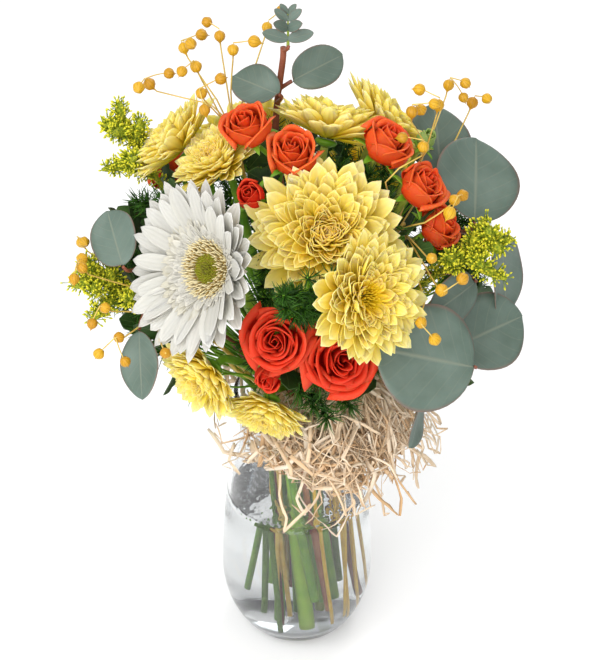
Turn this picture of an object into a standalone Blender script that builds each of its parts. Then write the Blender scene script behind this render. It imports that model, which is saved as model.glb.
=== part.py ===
"""Chrysanthemums, a gerbera, spray roses and foliage standing in a glass vase of water.

Metres, +Z up. The vase stands on the origin and the face of the bouquet looks to -Y.
Places in the bouquet are given from the centre of the rim.
"""

import math

import bpy
import numpy as np

# Vase and water
VASE_HEIGHT = 0.200
BASE_RADIUS = 0.034
BELLY_RADIUS = 0.0532
BELLY_HEIGHT = 0.046
NECK_RADIUS = 0.0422
WALL = 0.0028
FLOOR = 0.009
WATER_DEPTH = 0.107

# Flowers and leaves
GERBERA_DIAMETER = 0.106
CHRYSANTHEMUM_DIAMETER = 0.080
ROSE_DIAMETER = 0.040
LEAF_LENGTH = 0.056
CAPSULE_DIAMETER = 0.0066

# Stem diameters
GERBERA_STEM = 0.0085
CHRYSANTHEMUM_STEM = 0.0058
ROSE_STEM = 0.0046
EUCALYPTUS_STEM = 0.0042
FLAX_STEM = 0.0030
GOLDENROD_STEM = 0.0034
FERN_STEM = 0.0026

# How the pieces sit
GAP = 0.0004  # between any two pieces that touch
STEM_GAP = 0.0016  # between stems at the binding
SOAK_GAP = 0.0004  # between a stem and the water round it
BINDING_DROP = 0.018  # the binding is this far under the rim
TWIST = math.radians(50)  # turn of the stems from the binding to their feet
FOOT_SPREAD = 1.35  # the feet stand this much wider than the binding, if the base lets them
RAFFIA_DEPTH = 0.022

SCALE_OF_DOME = max(
    GERBERA_DIAMETER / 0.106,
    CHRYSANTHEMUM_DIAMETER / 0.080,
    ROSE_DIAMETER / 0.040,
    LEAF_LENGTH / 0.056,
    CAPSULE_DIAMETER / 0.0066,
)  # the dome opens until its largest kind of flower has room

BINDING = VASE_HEIGHT - BINDING_DROP
NECKLET = 0.0055  # the straight end of a stem, under its head
WATER_TOP = FLOOR + WATER_DEPTH

# Finishes: slot, colour, roughness, transmission
FINISHES = {
    "glass": ((0.93, 0.96, 0.97), 0.03, 1.0),
    "water": ((0.90, 0.94, 0.92), 0.02, 1.0),
    "white_petal": ((0.90, 0.89, 0.84), 0.6, 0.0),
    "gerbera_eye": ((0.36, 0.40, 0.14), 0.8, 0.0),
    "lemon_petal": ((0.90, 0.83, 0.36), 0.6, 0.0),
    "coral_petal": ((0.83, 0.20, 0.09), 0.6, 0.0),
    "rosebud_green": ((0.45, 0.55, 0.25), 0.6, 0.0),
    "green_stem": ((0.22, 0.34, 0.12), 0.6, 0.0),
    "red_twig": ((0.33, 0.15, 0.10), 0.6, 0.0),
    "eucalyptus_leaf": ((0.27, 0.37, 0.31), 0.6, 0.0),
    "flax_gold": ((0.62, 0.48, 0.16), 0.6, 0.0),
    "goldenrod": ((0.58, 0.60, 0.14), 0.8, 0.0),
    "fern_green": ((0.24, 0.46, 0.12), 0.7, 0.0),
    "raffia": ((0.78, 0.67, 0.48), 0.8, 0.0),
}

# Heads: name, kind, place, bearing and rise of the way it faces, size beside its kind's diameter
HEADS = (
    ("gerbera_head", "gerbera", (-0.050, -0.082, 0.150), -44, 26, 1.0),
    ("chrysanthemum_a", "chrysanthemum", (0.016, -0.066, 0.164), 2, 46, 1.0),
    ("chrysanthemum_b", "chrysanthemum", (0.039, -0.112, 0.150), 38, 26, 0.87),
    ("chrysanthemum_c", "chrysanthemum", (0.024, 0.010, 0.196), 150, 62, 0.74),
    ("chrysanthemum_d", "chrysanthemum", (0.054, 0.034, 0.176), 112, 42, 0.80),
    ("chrysanthemum_e", "chrysanthemum", (-0.070, 0.014, 0.176), -105, 42, 0.76),
    ("chrysanthemum_f", "chrysanthemum", (-0.052, -0.016, 0.190), -75, 58, 0.66),
    ("chrysanthemum_g", "chrysanthemum", (-0.052, -0.090, 0.082), -42, -14, 0.66),
    ("chrysanthemum_h", "chrysanthemum", (-0.022, -0.094, 0.054), -20, -32, 0.62),
    ("chrysanthemum_i", "chrysanthemum", (-0.034, 0.070, 0.150), -155, 35, 0.90),
    ("chrysanthemum_j", "chrysanthemum", (0.045, 0.085, 0.110), 150, 15, 0.90),
    ("rose_a", "rose", (-0.012, -0.112, 0.120), -8, 28, 0.92),
    ("rose_b", "rose", (0.027, -0.112, 0.106), 14, 22, 1.08),
    ("rose_c", "bud", (-0.017, -0.108, 0.088), -12, -6, 1.0),
    ("rose_d", "rose", (-0.026, -0.022, 0.206), -34, 66, 0.84),
    ("rose_e", "rose", (-0.004, -0.036, 0.202), 0, 66, 0.86),
    ("rose_f", "bud", (-0.028, -0.062, 0.178), -30, 48, 1.1),
    ("rose_g", "rose", (0.055, -0.020, 0.198), 72, 60, 0.90),
    ("rose_h", "rose", (0.074, -0.040, 0.180), 66, 48, 0.84),
    ("rose_i", "rose", (0.088, -0.044, 0.163), 72, 38, 0.78),
    ("rose_j", "rose", (-0.078, 0.056, 0.140), -125, 35, 0.95),
    ("rosebud_green", "bud", (0.080, -0.004, 0.194), 82, 60, 0.85),
)

# Plants: name, kind of stem, heads from the main one down, and where each side shoot forks
PLANTS = (
    ("gerbera_stem", "gerbera", ("gerbera_head",), ()),
    ("chrysanthemum_stem_a", "chrysanthemum", ("chrysanthemum_a",), ()),
    ("chrysanthemum_stem_b", "chrysanthemum", ("chrysanthemum_b",), ()),
    ("chrysanthemum_stem_c", "chrysanthemum", ("chrysanthemum_c", "chrysanthemum_d"), (0.45,)),
    ("chrysanthemum_stem_e", "chrysanthemum", ("chrysanthemum_f", "chrysanthemum_e"), (0.45,)),
    ("chrysanthemum_stem_g", "chrysanthemum", ("chrysanthemum_g", "chrysanthemum_h"), (0.3,)),
    ("chrysanthemum_stem_i", "chrysanthemum", ("chrysanthemum_i", "chrysanthemum_j"), (0.3,)),
    ("rose_stem_a", "rose", ("rose_a", "rose_b", "rose_c"), (0.45, 0.5)),
    ("rose_stem_d", "rose", ("rose_e", "rose_d", "rose_f", "rose_j"), (0.55, 0.5, 0.3)),
    ("rose_stem_g", "rose", ("rose_h", "rose_g", "rose_i", "rosebud_green"), (0.55, 0.6, 0.65)),
)

# Eucalyptus: branch name, tip, then its leaves: place, share of the branch where the stalk
# leaves it, bearing and rise of the leaf's face, size beside a full leaf, width beside length
EUCALYPTUS = (
    (
        "eucalyptus_top",
        (-0.008, 0.026, 0.240),
        (
            ((-0.026, 0.018, 0.220), 0.80, -20, 50, 0.62, 0.62),
            ((0.014, 0.032, 0.224), 0.83, 10, 40, 0.66, 0.60),
            ((-0.004, 0.024, 0.254), 0.97, 20, 30, 0.36, 0.66),
        ),
    ),
    (
        "eucalyptus_right",
        (0.096, -0.002, 0.128),
        (
            ((0.090, 0.022, 0.178), 0.80, 30, 35, 0.86, 0.80),
            ((0.112, -0.010, 0.170), 0.95, 30, 40, 1.0, 0.90),
            ((0.133, -0.030, 0.110), 0.88, 60, 20, 0.95, 0.70),
            ((0.098, -0.066, 0.118), 0.70, 60, 20, 0.80, 0.60),
        ),
    ),
    (
        "eucalyptus_low",
        (0.086, -0.074, 0.078),
        (
            ((0.078, -0.108, 0.104), 0.95, 25, 28, 1.10, 0.94),
            ((0.120, -0.060, 0.090), 0.90, 20, 40, 0.98, 0.78),
            ((0.078, -0.094, 0.052), 0.85, 80, 10, 0.80, 0.55),
        ),
    ),
    (
        "eucalyptus_left",
        (-0.098, -0.030, 0.120),
        (
            ((-0.112, -0.040, 0.146), 0.95, -30, 40, 0.70, 0.70),
            ((-0.096, -0.088, 0.084), 0.80, -30, 40, 0.74, 0.50),
        ),
    ),
)

# Flax: name, place of each capsule
FLAX = (
    (
        "flax_top_left",
        (
            (-0.070, 0.052, 0.226), (-0.089, 0.012, 0.222), (-0.060, 0.004, 0.238),
            (-0.047, 0.040, 0.240), (-0.038, 0.014, 0.244), (-0.056, -0.018, 0.232),
            (-0.018, 0.040, 0.246),
        ),
    ),
    (
        "flax_right",
        (
            (0.093, 0.020, 0.217), (0.110, 0.038, 0.195), (0.068, -0.030, 0.226),
            (0.084, -0.022, 0.226), (0.074, -0.050, 0.214), (0.092, -0.070, 0.190),
            (0.078, -0.098, 0.168), (0.084, -0.104, 0.150), (0.070, -0.116, 0.136),
        ),
    ),
    (
        "flax_left",
        (
            (-0.135, -0.010, 0.122), (-0.128, -0.066, 0.140), (-0.114, -0.082, 0.122),
            (-0.105, -0.098, 0.112), (-0.076, -0.122, 0.118),
        ),
    ),
)

# Goldenrod: name, root of the plume, its tip
GOLDENROD = (
    ("goldenrod_top_left", (-0.084, 0.054, 0.146), (-0.114, 0.044, 0.180)),
    ("goldenrod_left", (-0.090, -0.014, 0.090), (-0.128, -0.046, 0.120)),
    ("goldenrod_right", (0.088, -0.030, 0.130), (0.118, -0.060, 0.156)),
)

# Fern: name, and the way points of its frond
FERN = (
    ("fern_front", ((0.006, -0.076, 0.100), (0.008, -0.094, 0.138), (0.008, -0.106, 0.160))),
    ("fern_back", ((-0.020, 0.085, 0.090), (-0.026, 0.112, 0.110), (-0.030, 0.128, 0.120))),
)

# Raffia strands: seat on the nest out of 28, how far it hangs, how far it stands out
RAFFIA_LOOPS = (
    (25, 0.006, 0.022),
    (26, 0.012, 0.004),
    (0, 0.020, 0.002),
    (1, 0.010, 0.010),
    (2, 0.026, 0.003),
    (4, 0.016, 0.006),
    (5, 0.004, 0.016),
    (6, 0.000, 0.020),
    (14, 0.004, 0.006),
    (20, 0.006, 0.008),
)

STEM_DIAMETER = {
    "gerbera": GERBERA_STEM,
    "chrysanthemum": CHRYSANTHEMUM_STEM,
    "rose": ROSE_STEM,
    "eucalyptus": EUCALYPTUS_STEM,
    "flax": FLAX_STEM,
    "goldenrod": GOLDENROD_STEM,
    "fern": FERN_STEM,
}

# Head outlines: radius and height beside the head's own radius, from under the head to its top
OUTLINES = {
    "gerbera": ((0.10, -0.20), (0.24, -0.15), (0.62, -0.02), (0.98, 0.07), (1.0, 0.10), (0.60, 0.09), (0.30, 0.10)),
    "chrysanthemum": ((0.12, -0.34), (0.45, -0.25), (0.90, -0.06), (1.0, 0.06), (0.80, 0.17), (0.42, 0.25)),
    "rose": ((0.20, -0.80), (0.55, -0.62), (0.92, -0.20), (1.0, 0.16), (0.80, 0.34), (0.40, 0.36)),
    "bud": ((0.22, -1.00), (0.80, -0.60), (1.0, 0.0), (0.72, 0.70), (0.35, 1.05)),
}
SIDES = {"gerbera": 44, "chrysanthemum": 18, "rose": 10, "bud": 8}
RELIEF = {"gerbera": 0.13, "chrysanthemum": 0.10, "rose": 0.07, "bud": 0.0}
DIAMETER = {
    "gerbera": GERBERA_DIAMETER,
    "chrysanthemum": CHRYSANTHEMUM_DIAMETER,
    "rose": ROSE_DIAMETER,
    "bud": 0.52 * ROSE_DIAMETER,
}


def unit(v):
    v = np.asarray(v, float)
    return v / np.linalg.norm(v)


def heading(bearing, rise):
    """The unit vector at a bearing from -Y towards +X, and a rise above the horizontal."""
    b, e = math.radians(bearing), math.radians(rise)
    return np.array([math.sin(b) * math.cos(e), -math.cos(b) * math.cos(e), math.sin(e)])


def in_bouquet(place):
    """A place given from the rim's centre, in the scene."""
    return np.array([0.0, 0.0, VASE_HEIGHT]) + SCALE_OF_DOME * np.asarray(place, float)


def side_axes(axis):
    """Two unit vectors square to an axis and to each other, right-handed with it."""
    start = np.array([0.0, 0.0, 1.0]) if abs(axis[2]) < 0.9 else np.array([1.0, 0.0, 0.0])
    u = unit(np.cross(start, axis))
    return u, np.cross(axis, u)


# Vase ------------------------------------------------------------------------------------


def outer_radius(z):
    """The vase's outer radius at a height: a round belly, then a slow waist to the rim."""
    if z < BELLY_HEIGHT:
        t = 1 - max(z, 0.0) / BELLY_HEIGHT
        swell = (1 - t**1.71) ** (1 / 1.44)
        return BASE_RADIUS + (BELLY_RADIUS - BASE_RADIUS) * swell
    t = min(1.0, (z - BELLY_HEIGHT) / (VASE_HEIGHT - BELLY_HEIGHT))
    return NECK_RADIUS + (BELLY_RADIUS - NECK_RADIUS) * (0.5 + 0.5 * math.cos(math.pi * t))


def inner_radius(z):
    return outer_radius(z) - WALL


def belly_heights(low, high, count):
    """Heights between two, closer together near the lower one, where the wall turns most."""
    return [low + (high - low) * (i / (count - 1)) ** 1.7 for i in range(count)]


def cavity_outline():
    """Radius and height of the vase's cavity, from its floor to under the lip."""
    rows = [(inner_radius(FLOOR) - 0.9 * WALL, FLOOR)]
    heights = belly_heights(FLOOR + 0.6 * WALL, VASE_HEIGHT - 0.35 * WALL, 11)
    return rows + [(inner_radius(z), z) for z in heights]


def vase_outline():
    """Radius and height, from under the vase round its rim to the inner floor."""
    lip = 0.35 * WALL
    rows = [(BASE_RADIUS - 0.5 * WALL, 0.0)]
    rows += [(outer_radius(z), z) for z in belly_heights(0.0008, VASE_HEIGHT - lip, 11)]
    rows += [(NECK_RADIUS - lip, VASE_HEIGHT), (NECK_RADIUS - WALL + lip, VASE_HEIGHT)]
    return rows + cavity_outline()[::-1]


def water_outline():
    """Radius and height of the water, a gap inside the cavity, up to its surface."""
    rows = cavity_outline()
    radii, heights = [r for r, _ in rows], [z for _, z in rows]
    kept = [(r - GAP, z) for r, z in rows if FLOOR < z < WATER_TOP - 0.002]
    kept.insert(0, (radii[0] - 2 * GAP, FLOOR + GAP))
    return kept + [(float(np.interp(WATER_TOP, heights, radii)) - GAP, WATER_TOP)]


# Meshes ----------------------------------------------------------------------------------


def revolved(rows, sides, top, bottom, relief=0.0):
    """A closed body of revolution about Z, as vertices and faces; relief scallops its rows."""
    points = [(0.0, 0.0, bottom)]
    for k, (radius, z) in enumerate(rows):
        for i in range(sides):
            turn = math.tau * i / sides
            lobe = 1 - relief * ((i + k) % 2)
            points.append((radius * lobe * math.cos(turn), radius * lobe * math.sin(turn), z))
    points.append((0.0, 0.0, top))
    faces = [(0, 1 + (i + 1) % sides, 1 + i) for i in range(sides)]
    for k in range(len(rows) - 1):
        low = 1 + k * sides
        for i in range(sides):
            j = (i + 1) % sides
            faces.append((low + i, low + j, low + sides + j, low + sides + i))
    last = 1 + (len(rows) - 1) * sides
    faces += [(last + i, last + (i + 1) % sides, len(points) - 1) for i in range(sides)]
    return np.array(points), faces


def turned_to(points, centre, axis):
    """Points about Z, moved so that Z runs along an axis through a centre."""
    u, v = side_axes(axis)
    return centre + points @ np.array([u, v, axis])


def swept(path, radii, sides):
    """A closed tube along a path, as vertices and faces."""
    path = np.asarray(path, float)
    tangents = np.gradient(path, axis=0)
    tangents /= np.linalg.norm(tangents, axis=1)[:, None]
    u = side_axes(tangents[0])[0]
    points, faces = [path[0]], []
    for k, (centre, tangent) in enumerate(zip(path, tangents)):
        u = unit(u - tangent * (u @ tangent))
        v = np.cross(tangent, u)
        for i in range(sides):
            turn = math.tau * i / sides
            points.append(centre + radii[k] * (math.cos(turn) * u + math.sin(turn) * v))
    points.append(path[-1])
    faces += [(0, 1 + (i + 1) % sides, 1 + i) for i in range(sides)]
    for k in range(len(path) - 1):
        low = 1 + k * sides
        for i in range(sides):
            j = (i + 1) % sides
            faces.append((low + i, low + j, low + sides + j, low + sides + i))
    last = 1 + (len(path) - 1) * sides
    faces += [(last + i, last + (i + 1) % sides, len(points) - 1) for i in range(sides)]
    return np.array(points), faces


def leaf_shell(base, along, across, length, width, cup):
    """A closed leaf: an oval sheet of even thickness, cupped across and bent back along."""
    normal = np.cross(along, across)
    steps, columns, thickness = 6, 4, 0.0009
    upper, lower = [], []
    for s in range(steps + 1):
        t = 0.03 + 0.97 * s / steps
        half = 0.5 * width * math.sin(math.pi * min(1.0, t) ** 0.85) + 0.0012
        for c in range(columns + 1):
            w = 2 * c / columns - 1
            lift = cup * width * w * w * math.sin(math.pi * t) - 0.10 * length * t * t
            spot = base + along * length * (t - 0.03) + across * half * w + normal * lift
            upper.append(spot + normal * thickness / 2)
            lower.append(spot - normal * thickness / 2)
    row, count = columns + 1, len(upper)
    faces = []
    for s in range(steps):
        for c in range(columns):
            a = s * row + c
            faces.append((a, a + row, a + row + 1, a + 1))
            faces.append((count + a, count + a + 1, count + a + row + 1, count + a + row))
    rim = [c for c in range(row)]
    rim += [s * row + columns for s in range(1, steps + 1)]
    rim += [steps * row + c for c in range(columns - 1, -1, -1)]
    rim += [s * row for s in range(steps - 1, 0, -1)]
    for a, b in zip(rim, rim[1:] + rim[:1]):
        faces.append((a, b, count + b, count + a))
    return np.array(upper + lower), faces


def add_body(name, points, faces, slot=None):
    """An object in the scene, with its own material when it has a slot."""
    mesh = bpy.data.meshes.new(name)
    mesh.from_pydata([tuple(map(float, p)) for p in points], [], faces)
    mesh.update()
    obj = bpy.data.objects.new(name, mesh)
    bpy.context.scene.collection.objects.link(obj)
    if slot:
        mesh.materials.append(finish(name, slot))
    return obj


def finish(name, slot):
    """A Principled material of one finish, owned by one sub-part."""
    colour, roughness, transmission = FINISHES[slot]
    made = bpy.data.materials.new(f"{name}_{slot}")
    made.use_nodes = True
    shader = made.node_tree.nodes["Principled BSDF"]
    shader.inputs["Base Color"].default_value = (*colour, 1.0)
    shader.inputs["Roughness"].default_value = roughness
    shader.inputs["Transmission Weight"].default_value = transmission
    made.diffuse_color = (*colour, 1.0)
    return made


def combined(obj, operation, helpers):
    """Joins helpers to an object, or cuts them from it, and removes them."""
    group = bpy.data.collections.new(f"{obj.name}_helpers")
    bpy.context.scene.collection.children.link(group)
    for helper in helpers:
        bpy.context.scene.collection.objects.unlink(helper)
        group.objects.link(helper)
    step = obj.modifiers.new("Combine", "BOOLEAN")
    step.operation = operation
    step.solver = "EXACT"
    step.operand_type = "COLLECTION"
    step.collection = group
    graph = bpy.context.evaluated_depsgraph_get()
    made = bpy.data.meshes.new_from_object(obj.evaluated_get(graph))
    obj.modifiers.remove(step)
    before, obj.data = obj.data, made
    made.name = obj.name
    bpy.data.meshes.remove(before)
    for helper in helpers:
        bpy.data.meshes.remove(helper.data)
    bpy.data.collections.remove(group)
    return obj


# Stems -----------------------------------------------------------------------------------


class Clutter:
    """What is already in place, as capsules, so that a later stem can be steered round it."""

    def __init__(self):
        self.rows = []

    def add(self, points, radius, owner):
        points = [np.asarray(p, float) for p in points]
        self.rows += [(a, b, radius, owner) for a, b in zip(points, points[1:])]

    def add_disc(self, centre, axis, radius, thickness, owner):
        """Spokes that fill a head's disc."""
        u, v = side_axes(axis)
        reach = radius - 0.4 * thickness
        for i in range(24):
            turn = math.tau * i / 24
            rim = centre + reach * (math.cos(turn) * u + math.sin(turn) * v)
            self.add((centre, rim), 0.62 * thickness, owner)

    def others(self, owner):
        """The ends and radii of everything that isn't the owner's."""
        rows = [row for row in self.rows if row[3] != owner]
        return tuple(np.array([row[k] for row in rows]) for k in range(3))


def pushed_out(points, others, clearance):
    """How far each point has to move to be clear of the deepest thing it is in."""
    a, b, radius = others
    line = b - a
    share = np.einsum("pkj,kj->pk", points[:, None] - a, line)
    share = np.clip(share / np.maximum((line**2).sum(1), 1e-12), 0, 1)
    away = points[:, None] - (a + share[..., None] * line)
    distance = np.linalg.norm(away, axis=2)
    deep = radius + clearance - distance
    worst = deep.argmax(1)
    at = np.arange(len(points))
    depth = np.maximum(deep[at, worst], 0.0)
    side = away[at, worst] / np.maximum(distance[at, worst], 1e-6)[:, None]
    return side * depth[:, None]


def steered(path, radius, clutter, owner, held=1):
    """The path, with its inner points moved clear of the clutter and smoothed."""
    path = np.array(path, float)
    others = clutter.others(owner)
    clearance = radius + 2 * GAP
    rounds = 90
    for k in range(rounds):
        ease = 0.35 * (1 - k / rounds)
        inner = slice(1 + held, len(path) - 2)
        middle = (path[held:-3] + path[2 + held : -1]) / 2
        path[inner] += ease * (middle - path[inner])
        path[inner] += pushed_out(path[inner], others, clearance)
        for share in (0.25, 0.5, 0.75):
            move = pushed_out(path[:-1] + share * np.diff(path, axis=0), others, clearance)
            path[inner] += 0.6 * (share * move[:-1] + (1 - share) * move[1:])[held:-1]
    return unkinked(path)


def unkinked(path):
    """The path with each sharp corner drawn in, so that a tube along it stays whole."""
    for _ in range(12):
        runs = np.diff(path, axis=0)
        runs /= np.linalg.norm(runs, axis=1)[:, None]
        sharp = 1 + np.flatnonzero((runs[:-1] * runs[1:]).sum(1) < 0.35)
        path[sharp] = 0.5 * path[sharp] + 0.25 * (path[sharp - 1] + path[sharp + 1])
    return path


def curve(start, start_way, end, end_way, count):
    """A cubic from one point and way to another."""
    t = np.linspace(0, 1, count)[:, None]
    pull = np.linalg.norm(end - start)
    a, b = 2 * t**3 - 3 * t**2 + 1, t**3 - 2 * t**2 + t
    c, d = -2 * t**3 + 3 * t**2, t**3 - t**2
    return a * start + b * pull * start_way + c * end + d * pull * end_way


def landed(path, end):
    """The path with its end added, so that it meets what it carries squarely."""
    return np.vstack([path, end])


def clear_spot(spot, radius, clutter, owner):
    """The spot, moved out of whatever it is in."""
    spot = np.array([spot], float)
    others = clutter.others(owner)
    for _ in range(60):
        spot += pushed_out(spot, others, radius + 2 * GAP)
    return spot[0]


def slots_at_binding(wanted, radii):
    """Places for the stems at the binding: near the ones wanted, and clear of each other."""
    spots = np.array(wanted, float)
    radii = np.array(radii)
    room = inner_radius(BINDING) - 2 * STEM_GAP - radii
    for _ in range(400):
        for i in range(len(spots)):
            for j in range(i):
                apart = spots[i] - spots[j]
                far = max(np.linalg.norm(apart), 1e-6)
                need = radii[i] + radii[j] + STEM_GAP
                if far < need:
                    move = apart / far * (need - far) / 2
                    spots[i] += move
                    spots[j] -= move
        far = np.linalg.norm(spots, axis=1)
        spots *= np.minimum(1.0, room / np.maximum(far, 1e-6))[:, None]
    return spots


def soaked(slot, foot, spread):
    """A stem's path from its foot to the binding. One linear map moves every slot to its foot."""
    turn = np.array([[math.cos(TWIST), -math.sin(TWIST)], [math.sin(TWIST), math.cos(TWIST)]])
    far = spread * turn @ slot
    path = []
    for z in np.concatenate([[foot, foot + 0.0015], np.linspace(foot + 0.02, BINDING, 3)]):
        t = (z - FLOOR) / (BINDING - FLOOR)
        path.append([*((1 - t) * far + t * slot), z])
    return np.array(path)


class Stem:
    """One stem from its foot to its tip, and the side shoots that leave it."""

    def __init__(self, name, kind, slot, spread, foot):
        self.name, self.radius = name, STEM_DIAMETER[kind] / 2
        self.low = soaked(slot, foot, spread)
        self.shoots = []
        self.high = None

    def way_up(self):
        return unit(self.low[-1] - self.low[-2])

    def grow(self, end, end_way, axis, clutter, count=11):
        """Carries the stem on from the binding to an end, round what is in the way."""
        lift = unit(self.way_up() + np.array([0, 0, 0.4]))
        path = landed(curve(self.low[-1], lift, end - NECKLET * axis, end_way, count), end)
        self.high = steered(path, self.radius, clutter, self.name)
        self.note(self.low, self.radius, clutter)
        self.note(self.high, self.radius, clutter)

    def note(self, path, radius, clutter):
        clutter.add(path, radius, self.name)

    def at(self, share):
        """A point of the upper stem and the way it runs there."""
        spot = share * (len(self.high) - 1)
        k = min(int(spot), len(self.high) - 2)
        point = self.high[k] + (spot - k) * (self.high[k + 1] - self.high[k])
        return point, unit(self.high[k + 1] - self.high[k])

    def shoot(self, share, end, end_way, axis, thickness, clutter, count=7):
        """A side shoot that leaves the upper stem and ends at a point."""
        start, way = self.at(share)
        path = curve(start, 0.6 * way, end - NECKLET * axis, 0.7 * end_way, count)
        path = landed(path, end)
        path = steered(path, thickness * self.radius, clutter, self.name, held=0)
        self.shoots.append((path, thickness * self.radius))
        self.note(path, thickness * self.radius, clutter)
        return path

    def body(self, slot, sides=6, extras=(), shoot_sides=5):
        """The stem and its shoots as one body."""
        path = np.vstack([self.low, self.high[1:]])
        radii = np.full(len(path), self.radius)
        radii[-4:] *= np.array([0.97, 0.93, 0.9, 0.88])
        obj = add_body(self.name, *swept(path, radii, sides), slot)
        helpers = []
        for k, (line, radius) in enumerate(self.shoots):
            taper = radius * np.linspace(1.0, 0.85, len(line))
            helpers.append(add_body(f"{self.name}_{k}", *swept(line, taper, shoot_sides)))
        helpers += [add_body(f"{self.name}_x{k}", *extra) for k, extra in enumerate(extras)]
        return combined(obj, "UNION", helpers) if helpers else obj

    def sleeve(self, clearance):
        """The soaked part of the stem, fattened by a clearance, to cut from the water."""
        path = self.low.copy()
        path[0] -= clearance * unit(path[1] - path[0])
        path = path[path[:, 2] < WATER_TOP + 0.03]
        if path[-1, 2] < WATER_TOP + 0.004:
            path = np.vstack([path, self.low[len(path)]])
        return swept(path, np.full(len(path), self.radius + clearance), 6 if self.radius < 0.004 else 8)


# Heads -----------------------------------------------------------------------------------


class Head:
    """One flower head: a revolved, scalloped body that faces along an axis."""

    def __init__(self, name, kind, place, bearing, rise, size):
        self.name, self.kind = name, kind
        self.centre = in_bouquet(place)
        self.axis = heading(bearing, rise)
        self.radius = size * DIAMETER[kind] / 2
        self.rows = [(r * self.radius, z * self.radius) for r, z in OUTLINES[kind]]

    def half_thickness(self):
        heights = [z for _, z in self.rows]
        return (max(heights) - min(heights)) / 2

    def middle(self):
        heights = [z for _, z in self.rows]
        return self.centre + self.axis * (max(heights) + min(heights)) / 2

    def reach(self, way):
        """How far an ellipsoid of the head's size reaches along a way from its middle."""
        lean = self.axis @ way
        wide, thick = self.radius, self.half_thickness()
        return math.sqrt(wide**2 * (1 - lean**2) + (thick * lean) ** 2)

    def arrival(self):
        """The way its stem runs as it meets the head: along its axis, eased upright."""
        return unit(self.axis + np.array([0.0, 0.0, 0.7 if self.axis[2] > 0 else -0.2]))

    def back(self):
        """Where its stem ends, a gap under the head."""
        return self.centre + self.axis * (self.rows[0][1] - 0.03 * self.radius - GAP)

    def body(self, slot):
        low, high = self.rows[0][1] - 0.03 * self.radius, self.rows[-1][1] + 0.02 * self.radius
        points, faces = revolved(self.rows, SIDES[self.kind], high, low, RELIEF[self.kind])
        return add_body(self.name, turned_to(points, self.centre, self.axis), faces, slot)


def gap_between(a, b):
    """The widest gap found between two heads, and the way it opens from a to b."""
    line = b.middle() - a.middle()
    straight = unit(line)
    ways = [straight]
    for axis in (a.axis, b.axis, unit(a.axis + b.axis)):
        sign = 1 if axis @ line > 0 else -1
        ways += [sign * axis, unit(sign * axis + straight), unit(2 * sign * axis + straight)]
    gaps = [way @ line - a.reach(way) - b.reach(-way) for way in ways]
    best = int(np.argmax(gaps))
    return gaps[best], ways[best]


def spaced(heads):
    """Moves heads that meet apart, a little at a time."""
    for _ in range(200):
        for i, a in enumerate(heads):
            for b in heads[i + 1 :]:
                if np.linalg.norm(a.centre - b.centre) > a.radius + b.radius:
                    continue
                gap, way = gap_between(a, b)
                if gap < GAP:
                    heavy = b.radius**2 / (a.radius**2 + b.radius**2)
                    a.centre = a.centre - way * (GAP - gap) * 0.5 * heavy
                    b.centre = b.centre + way * (GAP - gap) * 0.5 * (1 - heavy)
    return heads


# The bouquet -----------------------------------------------------------------------------


def slot_of(head):
    if head.name == "rosebud_green":
        return "rosebud_green"
    return {"gerbera": "white_petal", "chrysanthemum": "lemon_petal"}.get(head.kind, "coral_petal")


def wanted_slot(place):
    """Where a stem would like to be at the binding: under its flower, nearer the middle if high."""
    place = np.asarray(place, float)
    flat = np.linalg.norm(place[:2])
    lean = math.atan2(flat, max(place[2] - 0.02, 0.01))
    return place[:2] / max(flat, 1e-6) * inner_radius(BINDING) * 0.62 * min(1.0, lean / 1.2)


def stem_list():
    """Name, kind and aim of every stem."""
    place = {head[0]: head[2] for head in HEADS}
    rows = [(name, kind, np.mean([place[h] for h in heads], axis=0)) for name, kind, heads, _ in PLANTS]
    rows += [(name, "eucalyptus", tip) for name, tip, _ in EUCALYPTUS]
    rows += [(name, "flax", np.mean(spots, axis=0)) for name, spots in FLAX]
    rows += [(name, "goldenrod", tip) for name, _, tip in GOLDENROD]
    rows += [(name, "fern", way[1]) for name, way in FERN]
    return rows


def planted():
    """Every stem, with its soaked part in place."""
    rows = stem_list()
    radii = [STEM_DIAMETER[kind] / 2 for _, kind, _ in rows]
    slots = slots_at_binding([wanted_slot(aim) for _, _, aim in rows], radii)
    widest = max(np.linalg.norm(slot) + r for slot, r in zip(slots, radii))
    spread = min(FOOT_SPREAD, (inner_radius(FLOOR + 0.004) - 3 * GAP) / widest)
    stems = {}
    for k, ((name, kind, _), slot) in enumerate(zip(rows, slots)):
        foot = FLOOR + 0.003 + 0.0034 * ((7 * k) % 9)
        stems[name] = Stem(name, kind, slot, spread, foot)
    return stems


def build_vase():
    points, faces = revolved(vase_outline(), 36, FLOOR, 0.0)
    add_body("vase", points, faces, "glass")


def build_water(stems):
    rows = water_outline()
    points, faces = revolved(rows, 36, WATER_TOP, FLOOR + GAP)
    water = add_body("water", points, faces, "water")
    sleeves = [add_body(f"{s.name}_sleeve", *s.sleeve(SOAK_GAP)) for s in stems.values()]
    combined(water, "DIFFERENCE", sleeves)


def build_heads(clutter):
    heads = spaced([Head(*row) for row in HEADS])
    for head in heads:
        head.body(slot_of(head))
        clutter.add_disc(head.middle(), head.axis, head.radius, 2 * head.half_thickness(), head.name)
    gerbera = heads[0]
    eye = [(0.20 * gerbera.radius, 0.0), (0.17 * gerbera.radius, 0.05 * gerbera.radius)]
    points, faces = revolved(eye, 16, 0.06 * gerbera.radius, 0.0)
    seat = gerbera.centre + gerbera.axis * (0.12 * gerbera.radius + GAP)
    add_body("gerbera_eye", turned_to(points, seat, gerbera.axis), faces, "gerbera_eye")
    return {head.name: head for head in heads}


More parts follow.
